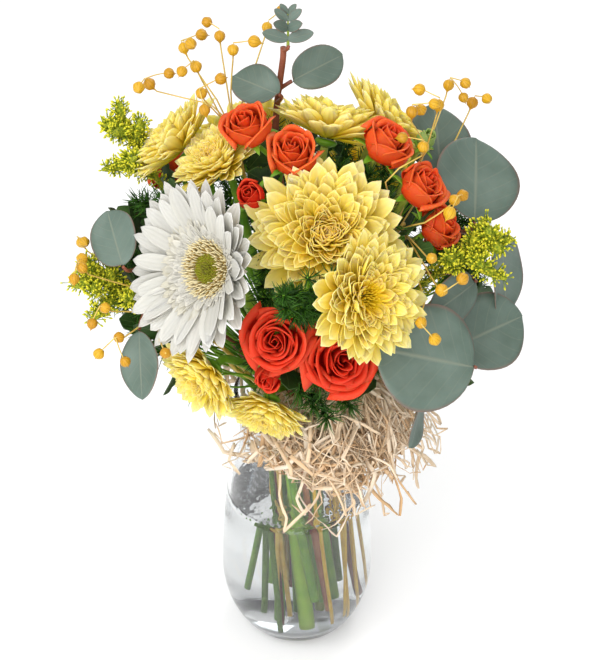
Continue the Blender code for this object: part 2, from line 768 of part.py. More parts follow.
def build_plants(stems, heads, clutter):
    for name, kind, flowers, forks in PLANTS:
        stem = stems[name]
        main = heads[flowers[0]]
        stem.grow(main.back(), main.arrival(), main.axis, clutter)
        for flower, fork in zip(flowers[1:], forks):
            head = heads[flower]
            stem.shoot(fork, head.back(), head.arrival(), head.axis, 0.75, clutter)
        stem.body("green_stem", 8 if kind == "gerbera" else 6)


def leaf_frame(point, centre, face):
    """The way a leaf runs from its stalk, and the way across it, square to its face."""
    line = centre - point
    along = unit(line - face * (line @ face))
    return along, np.cross(face, along)


def build_eucalyptus(stems, clutter):
    for name, tip, leaves in EUCALYPTUS:
        stem = stems[name]
        tip = clear_spot(in_bouquet(tip), stem.radius, clutter, name)
        way = unit(tip - in_bouquet((0, 0, 0.06)))
        stem.grow(tip, way, way, clutter)
        for k, (place, share, bearing, rise, size, round_) in enumerate(leaves):
            length, width = size * LEAF_LENGTH, size * round_ * LEAF_LENGTH
            centre = in_bouquet(place)
            fork, _ = stem.at(share)
            along, across = leaf_frame(fork, centre, heading(bearing, rise))
            base = centre - along * length / 2
            points, faces = leaf_shell(base, along, across, length, width, 0.10)
            add_body(f"{name}_leaf_{k + 1}", points, faces, "eucalyptus_leaf")
            spine = (base + along * 0.2 * length, centre, base + along * 0.8 * length)
            for side in (-0.28, 0.0, 0.28):
                row = [p + across * side * width for p in spine]
                clutter.add(row, 0.006, f"{name}_leaf_{k + 1}")
            stalk = base - 3 * GAP * along
            path = curve(fork, 0.5 * unit(stalk - fork), stalk, 0.8 * along, 5)
            stem.shoots.append((path, 0.0011))
            stem.note(path, 0.0011, clutter)
        stem.body("red_twig", 6, (), 4)


def capsule(centre, way):
    """A flax capsule: a round pod that comes to a point."""
    r = CAPSULE_DIAMETER / 2
    rows = [(0.62 * r, -0.78 * r), (r, 0.0), (0.70 * r, 0.66 * r), (0.16 * r, 1.05 * r)]
    points, faces = revolved(rows, 6, 1.5 * r, -r)
    return turned_to(points, centre, way), faces


def build_flax(stems, clutter):
    for name, spots in FLAX:
        stem = stems[name]
        room = 0.8 * CAPSULE_DIAMETER
        spots = [clear_spot(in_bouquet(spot), room, clutter, name) for spot in spots]
        middle = np.mean(spots, axis=0)
        root = in_bouquet((0.0, 0.0, 0.05))
        top = clear_spot(root + 0.76 * (middle - root), 3 * stem.radius, clutter, name)
        stem.grow(top, unit(middle - root), unit(middle - root), clutter)
        pods = []
        for k, spot in enumerate(spots):
            way = unit(unit(spot - top) + np.array([0, 0, 0.5]))
            share = 0.80 + 0.18 * k / len(spots)
            stem.shoot(share, spot - 0.15 * CAPSULE_DIAMETER * way, way, way, 0.42, clutter, 6)
            pods.append(capsule(spot, way))
            clutter.add((spot, spot + 0.5 * room * way), room, name)
        stem.body("flax_gold", 5, pods, 3)


def build_goldenrod(stems, clutter):
    for name, root, tip in GOLDENROD:
        stem = stems[name]
        root = in_bouquet(root)
        tip = clear_spot(in_bouquet(tip), 0.012, clutter, name)
        way = unit(tip - root)
        stem.grow(tip, way, way, clutter, 12)
        u, v = side_axes(way)
        sprays = []
        for k in range(8):
            share = 0.76 + 0.22 * k / 8
            start, run = stem.at(share)
            turn = 2.4 * k + 0.3
            out = math.cos(turn) * u + math.sin(turn) * v
            length = 0.030 * (1.25 - k / 8)
            end = start + length * unit(0.8 * out + 0.75 * way)
            end = clear_spot(end, 0.004, clutter, name)
            path = curve(start, unit(out + 0.3 * run), end, unit(out + way), 5)
            path = steered(path, 0.004, clutter, name, held=0)
            sprays.append(swept(path, np.array([0.0012, 0.003, 0.0042, 0.0034, 0.001]), 5))
            stem.note(path, 0.004, clutter)
        stem.body("goldenrod", 5, sprays, 4)


def build_fern(stems, clutter):
    for name, ways in FERN:
        stem = stems[name]
        points = [clear_spot(in_bouquet(way), 0.004, clutter, name) for way in ways]
        run = unit(points[2] - points[0])
        stem.grow(points[1], run, run, clutter)
        tip = stem.shoot(0.97, points[2], unit(points[2] - points[1]), run, 0.6, clutter, 5)
        u, v = side_axes(run)
        for k in range(8):
            start, _ = stem.at(0.86 + 0.014 * k) if k < 5 else (tip[k - 4], run)
            turn = math.pi * k + 0.5
            out = math.cos(turn) * u + math.sin(turn) * v
            end = clear_spot(start + 0.022 * unit(out + 0.7 * run), 0.0012, clutter, name)
            path = steered(curve(start, out, end, run, 4), 0.0012, clutter, name, held=0)
            stem.shoots.append((path, 0.0009))
            stem.note(path, 0.0012, clutter)
        stem.body("fern_green", 5, (), 3)


def raffia_ring():
    """Centres and radii of the nest round the rim, thickest at the front right."""
    ring, radii = [], []
    for k in range(28):
        bearing = 360 * k / 28
        front = (0.5 + 0.5 * math.cos(math.radians(bearing - 22))) ** 1.5
        lump = 0.10 * math.sin(math.radians(5 * bearing)) + 0.06 * math.sin(math.radians(9 * bearing))
        thick = RAFFIA_DEPTH * (0.42 + 0.58 * front) * (1 + lump)
        out = NECK_RADIUS - 0.008 + thick
        place = heading(bearing, 0) * out
        ring.append(place + np.array([0, 0, VASE_HEIGHT + 0.004 + 0.30 * thick * front]))
        radii.append(thick)
    return ring, radii


def raffia_loops(ring, radii):
    """Strands that leave the nest and come back to it: sideways, downwards, or out."""
    loops = []
    for k, (seat, drop, out) in enumerate(RAFFIA_LOOPS):
        start, end = ring[seat % 28], ring[(seat + 2) % 28]
        way = unit([start[0] + end[0], start[1] + end[1], 0.0])
        size = radii[seat % 28]
        far = (start + end) / 2 + way * (size + out) - np.array([0, 0, size * 0.4 + drop])
        first = curve(start, 0.9 * way, far, unit(end - start) * 0.5, 5)
        second = curve(far, unit(end - start) * 0.5, end, -0.9 * way, 5)
        path = np.vstack([first, second[1:]])
        loops.append(add_body(f"raffia_{k}", *swept(path, np.full(len(path), 0.0015), 4)))
    return loops


def build_raffia(ring, radii):
    """The nest, cut to sit over the rim, and its loose strands."""
    obj = add_body("raffia", *swept_ring(ring, radii, 9), "raffia")
    combined(obj, "UNION", raffia_loops(ring, radii))
    plug = [(outer_radius(z) + GAP, z) for z in np.linspace(0.6 * VASE_HEIGHT, VASE_HEIGHT, 5)]
    points, faces = revolved(plug, 36, VASE_HEIGHT + GAP, 0.6 * VASE_HEIGHT)
    points[:, 2] += GAP * (points[:, 2] > VASE_HEIGHT - GAP)
    return combined(obj, "DIFFERENCE", [add_body("raffia_plug", points, faces)])


def swept_ring(path, radii, sides):
    """A closed ring along a level path, as vertices and faces."""
    points, faces, count = [], [], len(path)
    for centre, radius in zip(path, radii):
        out = unit([centre[0], centre[1], 0.0])
        for i in range(sides):
            turn = math.tau * i / sides
            points.append(centre + radius * (math.cos(turn) * out + np.array([0, 0, math.sin(turn)])))
    for k in range(count):
        low, high = k * sides, (k + 1) % count * sides
        for i in range(sides):
            j = (i + 1) % sides
            faces.append((low + i, high + i, high + j, low + j))
    return np.array(points), faces


def clear_scene():
    for obj in list(bpy.data.objects):
        bpy.data.objects.remove(obj)


def main():
    clear_scene()
    clutter = Clutter()
    stems = planted()
    ring, radii = raffia_ring()
    for a, b, radius in zip(ring, ring[1:] + ring[:1], radii):
        clutter.add((a, b), radius, "raffia")
    build_vase()
    heads = build_heads(clutter)
    build_plants(stems, heads, clutter)
    build_eucalyptus(stems, clutter)
    build_goldenrod(stems, clutter)
    build_fern(stems, clutter)
    build_flax(stems, clutter)
    build_water(stems)
    build_raffia(ring, radii)


main()
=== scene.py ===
import math

import bpy
import numpy as np
from mathutils.bvhtree import BVHTree
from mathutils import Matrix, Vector


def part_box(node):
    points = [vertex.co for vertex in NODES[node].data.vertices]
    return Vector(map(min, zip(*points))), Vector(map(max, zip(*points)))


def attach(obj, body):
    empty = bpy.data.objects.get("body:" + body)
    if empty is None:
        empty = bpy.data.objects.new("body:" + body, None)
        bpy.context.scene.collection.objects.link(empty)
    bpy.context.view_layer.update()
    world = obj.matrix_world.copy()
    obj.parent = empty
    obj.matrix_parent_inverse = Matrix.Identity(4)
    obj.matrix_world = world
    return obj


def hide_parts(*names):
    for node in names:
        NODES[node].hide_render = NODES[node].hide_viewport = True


seeded = np.random.default_rng  # every draw comes from a generator with a fixed seed
GOLDEN = math.radians(137.508)  # the turn from one petal of a spiral to the next
UP = np.array([0.0, 0.0, 1.0])

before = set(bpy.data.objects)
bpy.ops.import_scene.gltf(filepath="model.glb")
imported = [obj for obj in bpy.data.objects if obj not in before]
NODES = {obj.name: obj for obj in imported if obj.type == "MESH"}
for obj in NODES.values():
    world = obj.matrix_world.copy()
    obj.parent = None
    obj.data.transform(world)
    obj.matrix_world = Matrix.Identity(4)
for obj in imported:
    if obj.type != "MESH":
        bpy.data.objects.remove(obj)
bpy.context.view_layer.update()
VASE_LOW, VASE_HIGH = (np.array(corner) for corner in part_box("vase"))
RIM = VASE_HIGH[2]  # the rim's height
HEART = np.array([0.0, 0.0, RIM + 0.06])  # the middle of the bouquet, which its flowers face away from

# How much larger a flower's petals stand than the plain solid that stands for them, and by how
# much more on three of the chrysanthemums
BLOOM = {"gerbera": 1.06, "chrysanthemum": 1.14, "rose": 1.08, "bud": 1.04}
BIGGER = {"chrysanthemum_c": 1.12, "chrysanthemum_d": 1.10, "chrysanthemum_a": 1.05}
# From the underside of a head's solid to its widest row, beside its radius
SEAT = {"gerbera": 0.23, "chrysanthemum": 0.37, "rose": 0.83, "bud": 1.03}
POD = 0.0066  # a flax pod's width
HEAP = 38.0  # the bearing that the raffia is heaped towards
FRONT_ROSES = ("rose_a", "rose_b", "rose_c", "rose_f")
OPENED = ("chrysanthemum_b", "chrysanthemum_d")  # the ones that show their discs
GROWTH = 0.075  # how far down from its tip a fern or a goldenrod has its needles or florets
MARKS = ("along", "across", "tone", "rank")  # what each point of a gathered mesh knows
BLACK, WHITE = (0, 0, 0), (1, 1, 1)


def unit(v):
    v = np.asarray(v, float)
    return v / np.linalg.norm(v)


def mix(a, b, t):
    return a + (b - a) * t


def heading(bearing, rise=0.0):
    """The unit vector at a bearing from -Y towards +X, and a rise above the horizontal."""
    b, e = math.radians(bearing), math.radians(rise)
    return np.array([math.sin(b) * math.cos(e), -math.cos(b) * math.cos(e), math.sin(e)])


def square_axes(axis):
    """Two unit vectors square to an axis and to each other, right-handed with it."""
    start = UP if abs(axis[2]) < 0.9 else np.array([1.0, 0.0, 0.0])
    u = unit(np.cross(start, axis))
    return u, np.cross(axis, u)


def away(points, spot):
    """How far each point is from a spot."""
    return np.linalg.norm(points - spot, axis=1)


def level_ring(radius, height, sides):
    """A level ring of points about the upright axis."""
    turn = np.linspace(0, math.tau, sides, endpoint=False)
    return np.stack([radius * np.cos(turn), radius * np.sin(turn), np.full(sides, height)], axis=1)


def bowed(start, end, bow, count):
    """A path from one place to another that bows out between them."""
    t = np.linspace(0, 1, count)[:, None]
    return start + (end - start) * t + bow * np.sin(math.pi * t)


def directions(path):
    """A path's own unit direction at each of its points."""
    steps = np.gradient(path, axis=0)
    return steps / np.maximum(np.linalg.norm(steps, axis=1), 1e-9)[:, None]


def apart(bearing, other):
    """How far one bearing is from another, the short way round."""
    return (bearing - other + 180) % 360 - 180


# Reading the CAD -------------------------------------------


def named(start):
    """The names of the CAD nodes that start like this, in order."""
    return [name for name in sorted(NODES) if name.startswith(start)]


def solid(name):
    """A CAD node's points and triangles, with coincident points made one."""
    mesh = NODES[name].data
    points = np.empty(len(mesh.vertices) * 3)
    mesh.vertices.foreach_get("co", points)
    mesh.calc_loop_triangles()
    faces = np.empty(len(mesh.loop_triangles) * 3, np.int32)
    mesh.loop_triangles.foreach_get("vertices", faces)
    points, index = np.unique(np.round(points.reshape(-1, 3), 5), axis=0, return_inverse=True)
    return points, index.reshape(-1)[faces].reshape(-1, 3)


class HeadFrame:
    """Where a flower's solid stands: the centre of its widest row, its axis and its radius."""

    def __init__(self, name, kind):
        points, faces = solid(name)
        poles = points[np.argsort(np.bincount(faces.ravel()))[-2:]]
        poles = sorted(poles, key=lambda p: np.linalg.norm(p - HEART))
        self.name, self.kind = name, kind
        self.axis = unit(poles[1] - poles[0])
        arm = points - poles[0]
        arm -= np.outer(arm @ self.axis, self.axis)
        self.solid_radius = np.linalg.norm(arm, axis=1).max()
        self.radius = BLOOM[kind] * self.solid_radius * BIGGER.get(name, 1.0)
        self.centre = poles[0] + self.axis * SEAT[kind] * self.solid_radius
        self.u, self.v = square_axes(self.axis)

    def place(self, grid):
        """Points in the head's own frame, in the scene."""
        return self.centre + grid @ np.array([self.u, self.v, self.axis])


def kind_of(name):
    if name in ("rose_c", "rose_f", "rosebud_green"):
        return "bud"
    return name.split("_")[0]


def head_frames():
    names = [name for name in named(("chrysanthemum_", "rose_", "rosebud")) if "_stem_" not in name]
    return {name: HeadFrame(name, kind_of(name)) for name in [*names, "gerbera_head"]}


def surface_samples(points, faces, count, rng):
    """Random points on a mesh, with the outward direction at each."""
    a, b, c = (points[faces[:, k]] for k in range(3))
    cross = np.cross(b - a, c - a)
    area = np.linalg.norm(cross, axis=1)
    pick = rng.choice(len(faces), count, p=area / area.sum())
    s, t = rng.random(count), rng.random(count)
    s, t = np.where(s + t > 1, 1 - s, s), np.where(s + t > 1, 1 - t, t)
    spots = a[pick] + s[:, None] * (b - a)[pick] + t[:, None] * (c - a)[pick]
    return spots, cross[pick] / area[pick][:, None]


def vase_rows():
    """The vase's outer and inner rows, radius and height, read down one side of its solid."""
    points, _ = solid("vase")
    column = points[(np.abs(points[:, 1]) < 1e-5) & (points[:, 0] > 1e-4)]
    rows = column[:, [0, 2]][np.argsort(column[:, 2])]
    tree = BVHTree.FromPolygons(*[a.tolist() for a in solid("vase")])
    outer, inner, outside, slack = [], [], 0.2, 0.0006
    for r, z in rows:
        hit = tree.ray_cast(Vector((outside, 0.0, z)), Vector((-1, 0, 0)))[0]
        face = hit.x if hit else r
        (outer if abs(face - r) < slack or z < 1e-4 else inner).append((r, z))
    return np.array(outer), np.array(inner)


VASE_MOUTH = float(vase_rows()[1][-1, 0])  # the inner radius at the rim


# Building meshes -------------------------------------------


class Gathered:
    """Many small pieces in one mesh. Each point knows how far along and across its piece it is,
    the piece's own tone, and the piece's rank from the flower's middle outwards."""

    def __init__(self):
        self.points, self.faces, self.marks, self.count = [], [], [], 0

    def gather(self, points, faces, along, across, tone, rank):
        """Takes in one piece, whose faces count its points from 0."""
        flat = np.full(len(points), tone), np.full(len(points), rank)
        self.marks.append(np.stack([along, across, *flat], axis=1))
        self.points.append(points)
        for group in faces:
            self.faces += (group + self.count).tolist()
        self.count += len(points)

    def build(self, name, material, slot, replaced=()):
        obj = add_mesh(name, np.vstack(self.points), self.faces, material)
        for mark, values in zip(MARKS, np.vstack(self.marks).T):
            layer = obj.data.attributes.new(mark, "FLOAT", "POINT")
            layer.data.foreach_set("value", values.astype(np.float32))
        settle(obj, replaced)
        return obj


class Sheets(Gathered):
    """Thin curved sheets."""

    def add(self, grid, tone=0.5, rank=0.5):
        rows, columns = grid.shape[:2]
        along, across = np.meshgrid(np.linspace(0, 1, rows), np.linspace(-1, 1, columns), indexing="ij")
        i = np.arange(rows - 1)[:, None] * columns + np.arange(columns - 1)
        quads = np.stack([i, i + columns, i + columns + 1, i + 1], axis=-1).reshape(-1, 4)
        self.gather(grid.reshape(-1, 3), [quads], along.ravel(), across.ravel(), tone, rank)

    def build(self, name, material, slot, replaced=(), thickness=0.0003):
        skin = super().build(name, material, slot, replaced).modifiers.new("Skin", "SOLIDIFY")
        skin.thickness, skin.offset = thickness, 0.0


class Tubes(Gathered):
    """Closed tubes and round bodies."""

    def add(self, rings, low, high, tone=0.5, rank=0.5):
        """Joins rings of points, (count, sides, 3), and closes them at a low and a high point."""
        count, sides = rings.shape[:2]
        points = np.vstack([[low], rings.reshape(-1, 3), [high]])
        along = np.concatenate([[0], np.repeat(np.linspace(0, 1, count), sides), [1]])
        across = np.concatenate([[0], np.tile(np.linspace(-1, 1, sides), count), [0]])
        i, j = np.arange(sides), (np.arange(sides) + 1) % sides
        last = 1 + (count - 1) * sides
        bottom = np.stack([np.zeros(sides, int), 1 + j, 1 + i], axis=1)
        top = np.stack([last + i, last + j, np.full(sides, len(points) - 1)], axis=1)
        row = 1 + np.arange(count - 1)[:, None] * sides
        quads = np.stack([row + i, row + j, row + sides + j, row + sides + i], axis=-1).reshape(-1, 4)
        self.gather(points, [bottom, top, quads], along, across, tone, rank)

    def add_path(self, path, radii, sides, tone=0.5, rank=0.5):
        """A tube of some radius at each point of a path."""
        tangents = directions(path)
        u = square_axes(tangents[0])[0]
        turn = np.linspace(0, math.tau, sides, endpoint=False)
        rings = []
        for centre, tangent, radius in zip(path, tangents, radii):
            u = unit(u - tangent * (u @ tangent))
            v = np.cross(tangent, u)
            rings.append(centre + radius * (np.cos(turn)[:, None] * u + np.sin(turn)[:, None] * v))
        self.add(np.array(rings), path[0], path[-1], tone, rank)


def add_mesh(name, points, faces, material):
    mesh = bpy.data.meshes.new(name)
    mesh.from_pydata(points.tolist(), [], faces)
    mesh.update()
    mesh.shade_smooth()
    mesh.materials.append(material)
    obj = bpy.data.objects.new(name, mesh)
    bpy.context.scene.collection.objects.link(obj)
    return obj


def settle(obj, replaced):
    """Ties a piece to the body, and hides the solids that it stands for."""
    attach(obj, "root")
    if replaced:
        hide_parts(*replaced)


# Materials -------------------------------------------------


class Paint:
    """A Principled material put together node by node."""

    def __init__(self, name, roughness, subsurface=0.0):
        self.material = bpy.data.materials.new(name)
        self.material.use_nodes = True
        self.tree = self.material.node_tree
        self.shader = self.tree.nodes["Principled BSDF"]
        self.fix("Roughness", roughness)
        self.fix("Subsurface Weight", subsurface)
        self.fix("Subsurface Scale", 0.002)
        self.fix("Specular IOR Level", 0.35)

    def fix(self, socket, value):
        """Sets a constant on the shader's own socket."""
        self.shader.inputs[socket].default_value = value

    def node(self, kind, **settings):
        made = self.tree.nodes.new(kind)
        for key, value in settings.items():
            setattr(made, key, value)
        return made

    def link(self, a, b):
        self.tree.links.new(a, b)

    def mark(self, name):
        return self.node("ShaderNodeAttribute", attribute_name=name).outputs["Fac"]

    def math(self, operation, a, b=0.0, c=0.0):
        made = self.node("ShaderNodeMath", operation=operation)
        for socket, value in zip(made.inputs, (a, b, c)):
            if isinstance(value, (int, float)):
                socket.default_value = value
            else:
                self.link(value, socket)
        return made.outputs[0]

    def ramp(self, factor, stops):
        made = self.node("ShaderNodeValToRGB")
        line = made.color_ramp
        while len(line.elements) < len(stops):
            line.elements.new(0.5)
        for element, (place, colour) in zip(line.elements, stops):
            element.position = place
            element.color = (*colour, 1.0)
        self.link(factor, made.inputs["Fac"])
        return made.outputs["Color"]

    def blend(self, factor, a, b, kind="MIX"):
        made = self.node("ShaderNodeMix", data_type="RGBA", blend_type=kind)
        for socket, value in ((made.inputs[0], factor), (made.inputs[6], a), (made.inputs[7], b)):
            if isinstance(value, (int, float)):
                socket.default_value = value
            elif isinstance(value, tuple):
                socket.default_value = (*value, 1.0)
            else:
                self.link(value, socket)
        return made.outputs[2]

    def height(self):
        """How high a point is on its piece, from 0 at the foot to 1 at the top."""
        split = self.node("ShaderNodeSeparateXYZ")
        self.link(self.node("ShaderNodeTexCoord").outputs["Generated"], split.inputs[0])
        return split.outputs["Z"]

    def noise(self, scale, detail=3.0):
        place = self.node("ShaderNodeTexCoord").outputs["Object"]
        made = self.node("ShaderNodeTexNoise")
        made.inputs["Scale"].default_value = scale
        made.inputs["Detail"].default_value = detail
        self.link(place, made.inputs["Vector"])
        return made.outputs["Fac"]

    def colour(self, socket):
        self.link(socket, self.shader.inputs["Base Color"])

    def bump(self, height, distance, strength):
        made = self.node("ShaderNodeBump")
        made.inputs["Strength"].default_value = strength
        made.inputs["Distance"].default_value = distance
        self.link(height, made.inputs["Height"])
        self.link(made.outputs["Normal"], self.shader.inputs["Normal"])


def ribs(paint, lines):
    """A height that waves across a petal."""
    wave = paint.math("SINE", paint.math("MULTIPLY", paint.mark("across"), lines * math.pi))
    return paint.math("MULTIPLY_ADD", wave, 0.5, 0.5)


def petal_paint(name, middle, body, edge, lines=3.0, roughness=0.55):
    """A petal: deeper at the flower's middle and at each petal's foot, paler at its edge."""
    paint = Paint(name, roughness, 0.45)
    paint.fix("Subsurface Radius", body)
    paint.fix("Subsurface Scale", 0.004)
    paint.fix("Specular IOR Level", 0.15)
    by_rank = paint.ramp(paint.mark("rank"), ((0.0, middle), (0.45, body), (1.0, body)))
    lift = paint.math("POWER", paint.mark("along"), 2.6)
    lift = paint.math("MULTIPLY", lift, paint.math("MULTIPLY_ADD", paint.mark("rank"), 0.55, 0.42))
    shaded = paint.blend(lift, by_rank, edge)
    grain = paint.math("MULTIPLY_ADD", paint.mark("tone"), 0.22, 0.86)
    fine = paint.math("MULTIPLY_ADD", ribs(paint, lines), 0.06, 0.95)
    both = paint.math("MULTIPLY", grain, fine)
    tint = paint.node("ShaderNodeCombineColor")
    for socket in tint.inputs[:3]:
        paint.link(both, socket)
    paint.colour(paint.blend(1.0, shaded, tint.outputs[0], "MULTIPLY"))
    paint.bump(ribs(paint, lines), 0.0004, 0.35)
    return paint.material


def stem_paint(name, dark, light, scale=60.0):
    """A stem: patches between two tones, and a fine grain."""
    paint = Paint(name, 0.45, 0.05)
    paint.colour(paint.ramp(paint.noise(scale), ((0.3, dark), (0.7, light))))
    paint.bump(paint.noise(420.0, 4.0), 0.0004, 0.4)
    return paint.material


def leaf_paint(name, dark, light, vein, margin):
    """A leaf: pale midrib, side veins that lean forwards, mottled blade, tinted margin."""
    paint = Paint(name, 0.5, 0.04)
    across = paint.math("ABSOLUTE", paint.mark("across"))
    along = paint.mark("along")
    blade = paint.ramp(paint.noise(45.0, 4.0), ((0.3, dark), (0.72, light)))
    slant = paint.math("SUBTRACT", along, paint.math("MULTIPLY", across, 0.22))
    wave = paint.math("SINE", paint.math("MULTIPLY", slant, 58.0))
    side = paint.ramp(wave, ((0.90, BLACK), (1.0, (0.22, 0.22, 0.22))))
    rib = paint.ramp(across, ((0.0, WHITE), (0.055, BLACK)))
    veins = paint.math("MAXIMUM", side, rib)
    shaded = paint.blend(veins, blade, vein)
    edge = paint.ramp(across, ((0.93, BLACK), (1.0, WHITE)))
    paint.colour(paint.blend(paint.math("MULTIPLY", edge, 0.7), shaded, margin))
    paint.bump(veins, 0.0005, 0.35)
    return paint.material


def plume_paint(name, stem, low, high):
    """A goldenrod's solid: a green stem, and above it a mass of tiny grains."""
    paint = Paint(name, 0.7)
    top = paint.ramp(paint.height(), ((0.70, BLACK), (0.78, WHITE)))
    grains = paint.noise(700.0, 2.0)
    paint.colour(paint.blend(top, stem, paint.ramp(grains, ((0.35, low), (0.65, high)))))
    paint.bump(grains, 0.0015, 1.0)
    return paint.material


def pod_paint(name, pale, deep, line):
    """A flax pod: golden, with a darker seam between its five lobes."""
    paint = Paint(name, 0.42)
    wave = paint.math("SINE", paint.math("MULTIPLY", paint.mark("across"), 5 * math.pi))
    seam = paint.ramp(paint.math("ABSOLUTE", wave), ((0.0, (0.75, 0.75, 0.75)), (0.35, BLACK)))
    skin = paint.ramp(paint.mark("tone"), ((0.0, deep), (1.0, pale)))
    paint.colour(paint.blend(seam, skin, line))
    paint.bump(paint.noise(500.0, 4.0), 0.0003, 0.5)
    return paint.material


def plain_paint(name, stops, by="tone", grain=0.0):
    """A finish that runs through tones from one small piece to the next."""
    paint = Paint(name, 0.6)
    paint.colour(paint.ramp(paint.mark(by), stops))
    if grain:
        paint.bump(paint.noise(grain, 4.0), 0.0003, 0.5)
    return paint.material


def clear_paint(name, tint, ior, density, ripple=0.0):
    """Glass or water: clear, and darker the longer the way through it. A ripple bends its top."""
    paint = Paint(name, 0.0)
    depth = paint.node("ShaderNodeVolumeAbsorption")
    depth.inputs["Color"].default_value = (*tint, 1.0)
    depth.inputs["Density"].default_value = density
    paint.link(depth.outputs["Volume"], paint.tree.nodes["Material Output"].inputs["Volume"])
    paint.fix("Base Color", (0.985, 0.99, 0.99, 1.0))
    paint.fix("IOR", ior)
    paint.fix("Specular IOR Level", 0.5)
    paint.fix("Transmission Weight", 1.0)
    if ripple:
        top = paint.ramp(paint.height(), ((0.95, BLACK), (0.99, WHITE)))
        paint.bump(paint.math("MULTIPLY", paint.noise(75.0, 2.0), top), ripple, 1.0)
    return paint.material


# Petals ----------------------------------------------------


def strap(length, width, foot_angle, tip_angle, cup, rows, columns, foot, shoulder, tip=1.0):
    """A petal in its own frame: X across, Y outwards, Z up. Its angles are above the plane, it is
    widest at its shoulder, and its tip runs from blunt (0.5) to pointed (1)."""
    s = np.linspace(0, 1, rows) ** 0.85
    angle = foot_angle + (tip_angle - foot_angle) * s**1.2
    step = np.diff(s, prepend=0.0) * length
    y, z = np.cumsum(np.cos(angle) * step), np.cumsum(np.sin(angle) * step)
    rising = foot + (1 - foot) * np.sin(0.5 * math.pi * np.minimum(s / shoulder, 1))
    past = np.clip((s - shoulder) / (1 - shoulder), 0, 1)
    half = 0.5 * width * rising * np.maximum(1 - past**2, 0.0006) ** tip
    c = np.linspace(-1, 1, columns)
    lift = cup * half[:, None] * c**2
    x = half[:, None] * c
    ys = y[:, None] - np.sin(angle)[:, None] * lift
    zs = z[:, None] + np.cos(angle)[:, None] * lift
    return np.stack([x, ys, zs], axis=-1)


def turned(grid, turn, out, rise, lean=0.0):
    """A petal moved out from the axis, leaned sideways and turned about the axis."""
    x, y, z = grid[..., 0], grid[..., 1], grid[..., 2]
    x, z = x * math.cos(lean) - z * math.sin(lean), x * math.sin(lean) + z * math.cos(lean)
    y, z = y + out, z + rise
    sine, cosine = math.sin(turn), math.cos(turn)
    return np.stack([x * cosine + y * sine, y * cosine - x * sine, z], axis=-1)


def chrysanthemum(head, paint, rng, opened):
    """A spiral of scooped petals that curl up at their tips: short and upright in the middle, long
    and low outside. An opened one shows a disc of florets."""
    sheets, radius = Sheets(), head.radius
    petals, disc_share = 215, 0.11
    for i in range(petals):
        t = (i + 0.5) / petals
        if opened and t < disc_share:
            continue
        length = radius * (0.15 + 0.83 * t**0.72) * rng.uniform(0.88, 1.06)
        width = radius * mix(0.13, 0.27, t**0.55) * rng.uniform(0.85, 1.12)
        foot_angle = math.radians(mix(72 - 16 * opened, 10, t**0.8) + rng.normal(0, 4))
        tip_angle = math.radians(mix(112 - 34 * opened, 27, t**0.66) + rng.normal(0, 10))
        cup = mix(0.75, 0.32, t) * rng.uniform(0.75, 1.2)
        blunt = rng.uniform(0.46, 0.78)
        petal = strap(length, width, foot_angle, tip_angle, cup, 10, 7, 0.50, 0.66, blunt)
        out = radius * mix(0.02 + 0.08 * opened, 0.13, t**0.5)
        rise = radius * mix(0.04, -0.14, t)
        petal = turned(petal, i * GOLDEN + rng.normal(0, 0.05), out, rise, rng.normal(0, 0.16))
        sheets.add(head.place(petal), rng.random(), t)
    sheets.build(f"{head.name}_petals", paint, "lemon_petal", [head.name])


def florets(tubes, head, rng, count, inner, outer, height, size, rank):
    """Tiny upright florets in a spiral between two radii, given beside the head's own."""
    radius = head.radius
    for i in range(count):
        t = math.sqrt(mix((inner / outer) ** 2, 1.0, (i + 0.5) / count))
        turn, out = i * GOLDEN, outer * radius * t
        foot = np.array([math.sin(turn) * out, math.cos(turn) * out, 0.02 * radius])
        way = unit([0.45 * t * math.sin(turn), 0.45 * t * math.cos(turn), 1.0] + 0.12 * rng.normal(size=3))
        tall = radius * height * rng.uniform(0.8, 1.2)
        path = np.array([foot, foot + 0.6 * tall * way, foot + tall * way])
        radii = size * radius * np.array([0.8, 0.95, 0.55])
        tubes.add_path(head.place(path), radii, 5, rng.random(), rank)


def flower_disc(head, paint, rng):
    tubes = Tubes()
    florets(tubes, head, rng, 110, 0.0, 0.19, 0.15, 0.012, 0.6)
    tubes.build(f"{head.name}_disc", paint, "lemon_petal", [head.name])


def gerbera_rays(head, paint, rng):
    """Three rows of ribbed rays in a shallow cup. Those towards the roses are shorter and steeper."""
    sheets, radius = Sheets(), head.radius
    rows = ((22, 1.00, 10, 8, -0.06), (22, 0.97, 16, 12, -0.04), (17, 0.90, 23, 17, -0.02))
    for row, (count, reach, foot_angle, tip_angle, rise) in enumerate(rows):
        for i in range(count):
            turn = math.tau * (i + 0.5 * row + 0.13 * rng.normal()) / count
            inwards = (math.sin(turn) * head.u + math.cos(turn) * head.v)[0]
            length = radius * (reach - 0.25) * rng.uniform(0.95, 1.06) * (1 - 0.13 * inwards)
            steeper = 11 + 15 * inwards
            angles = [math.radians(a + steeper + rng.normal(0, 3)) for a in (foot_angle, tip_angle)]
            width = radius * rng.uniform(0.17, 0.22)
            cup, blunt = rng.uniform(0.15, 0.35), rng.uniform(0.50, 0.80)
            petal = strap(length, width, *angles, cup, 13, 9, 0.45, 0.62, blunt)
            petal = turned(petal, turn, radius * 0.25, radius * rise, rng.normal(0, 0.10))
            sheets.add(head.place(petal), rng.random(), 0.9 - 0.1 * row)
    sheets.build("gerbera_rays", paint, "white_petal", ["gerbera_head"], 0.0004)


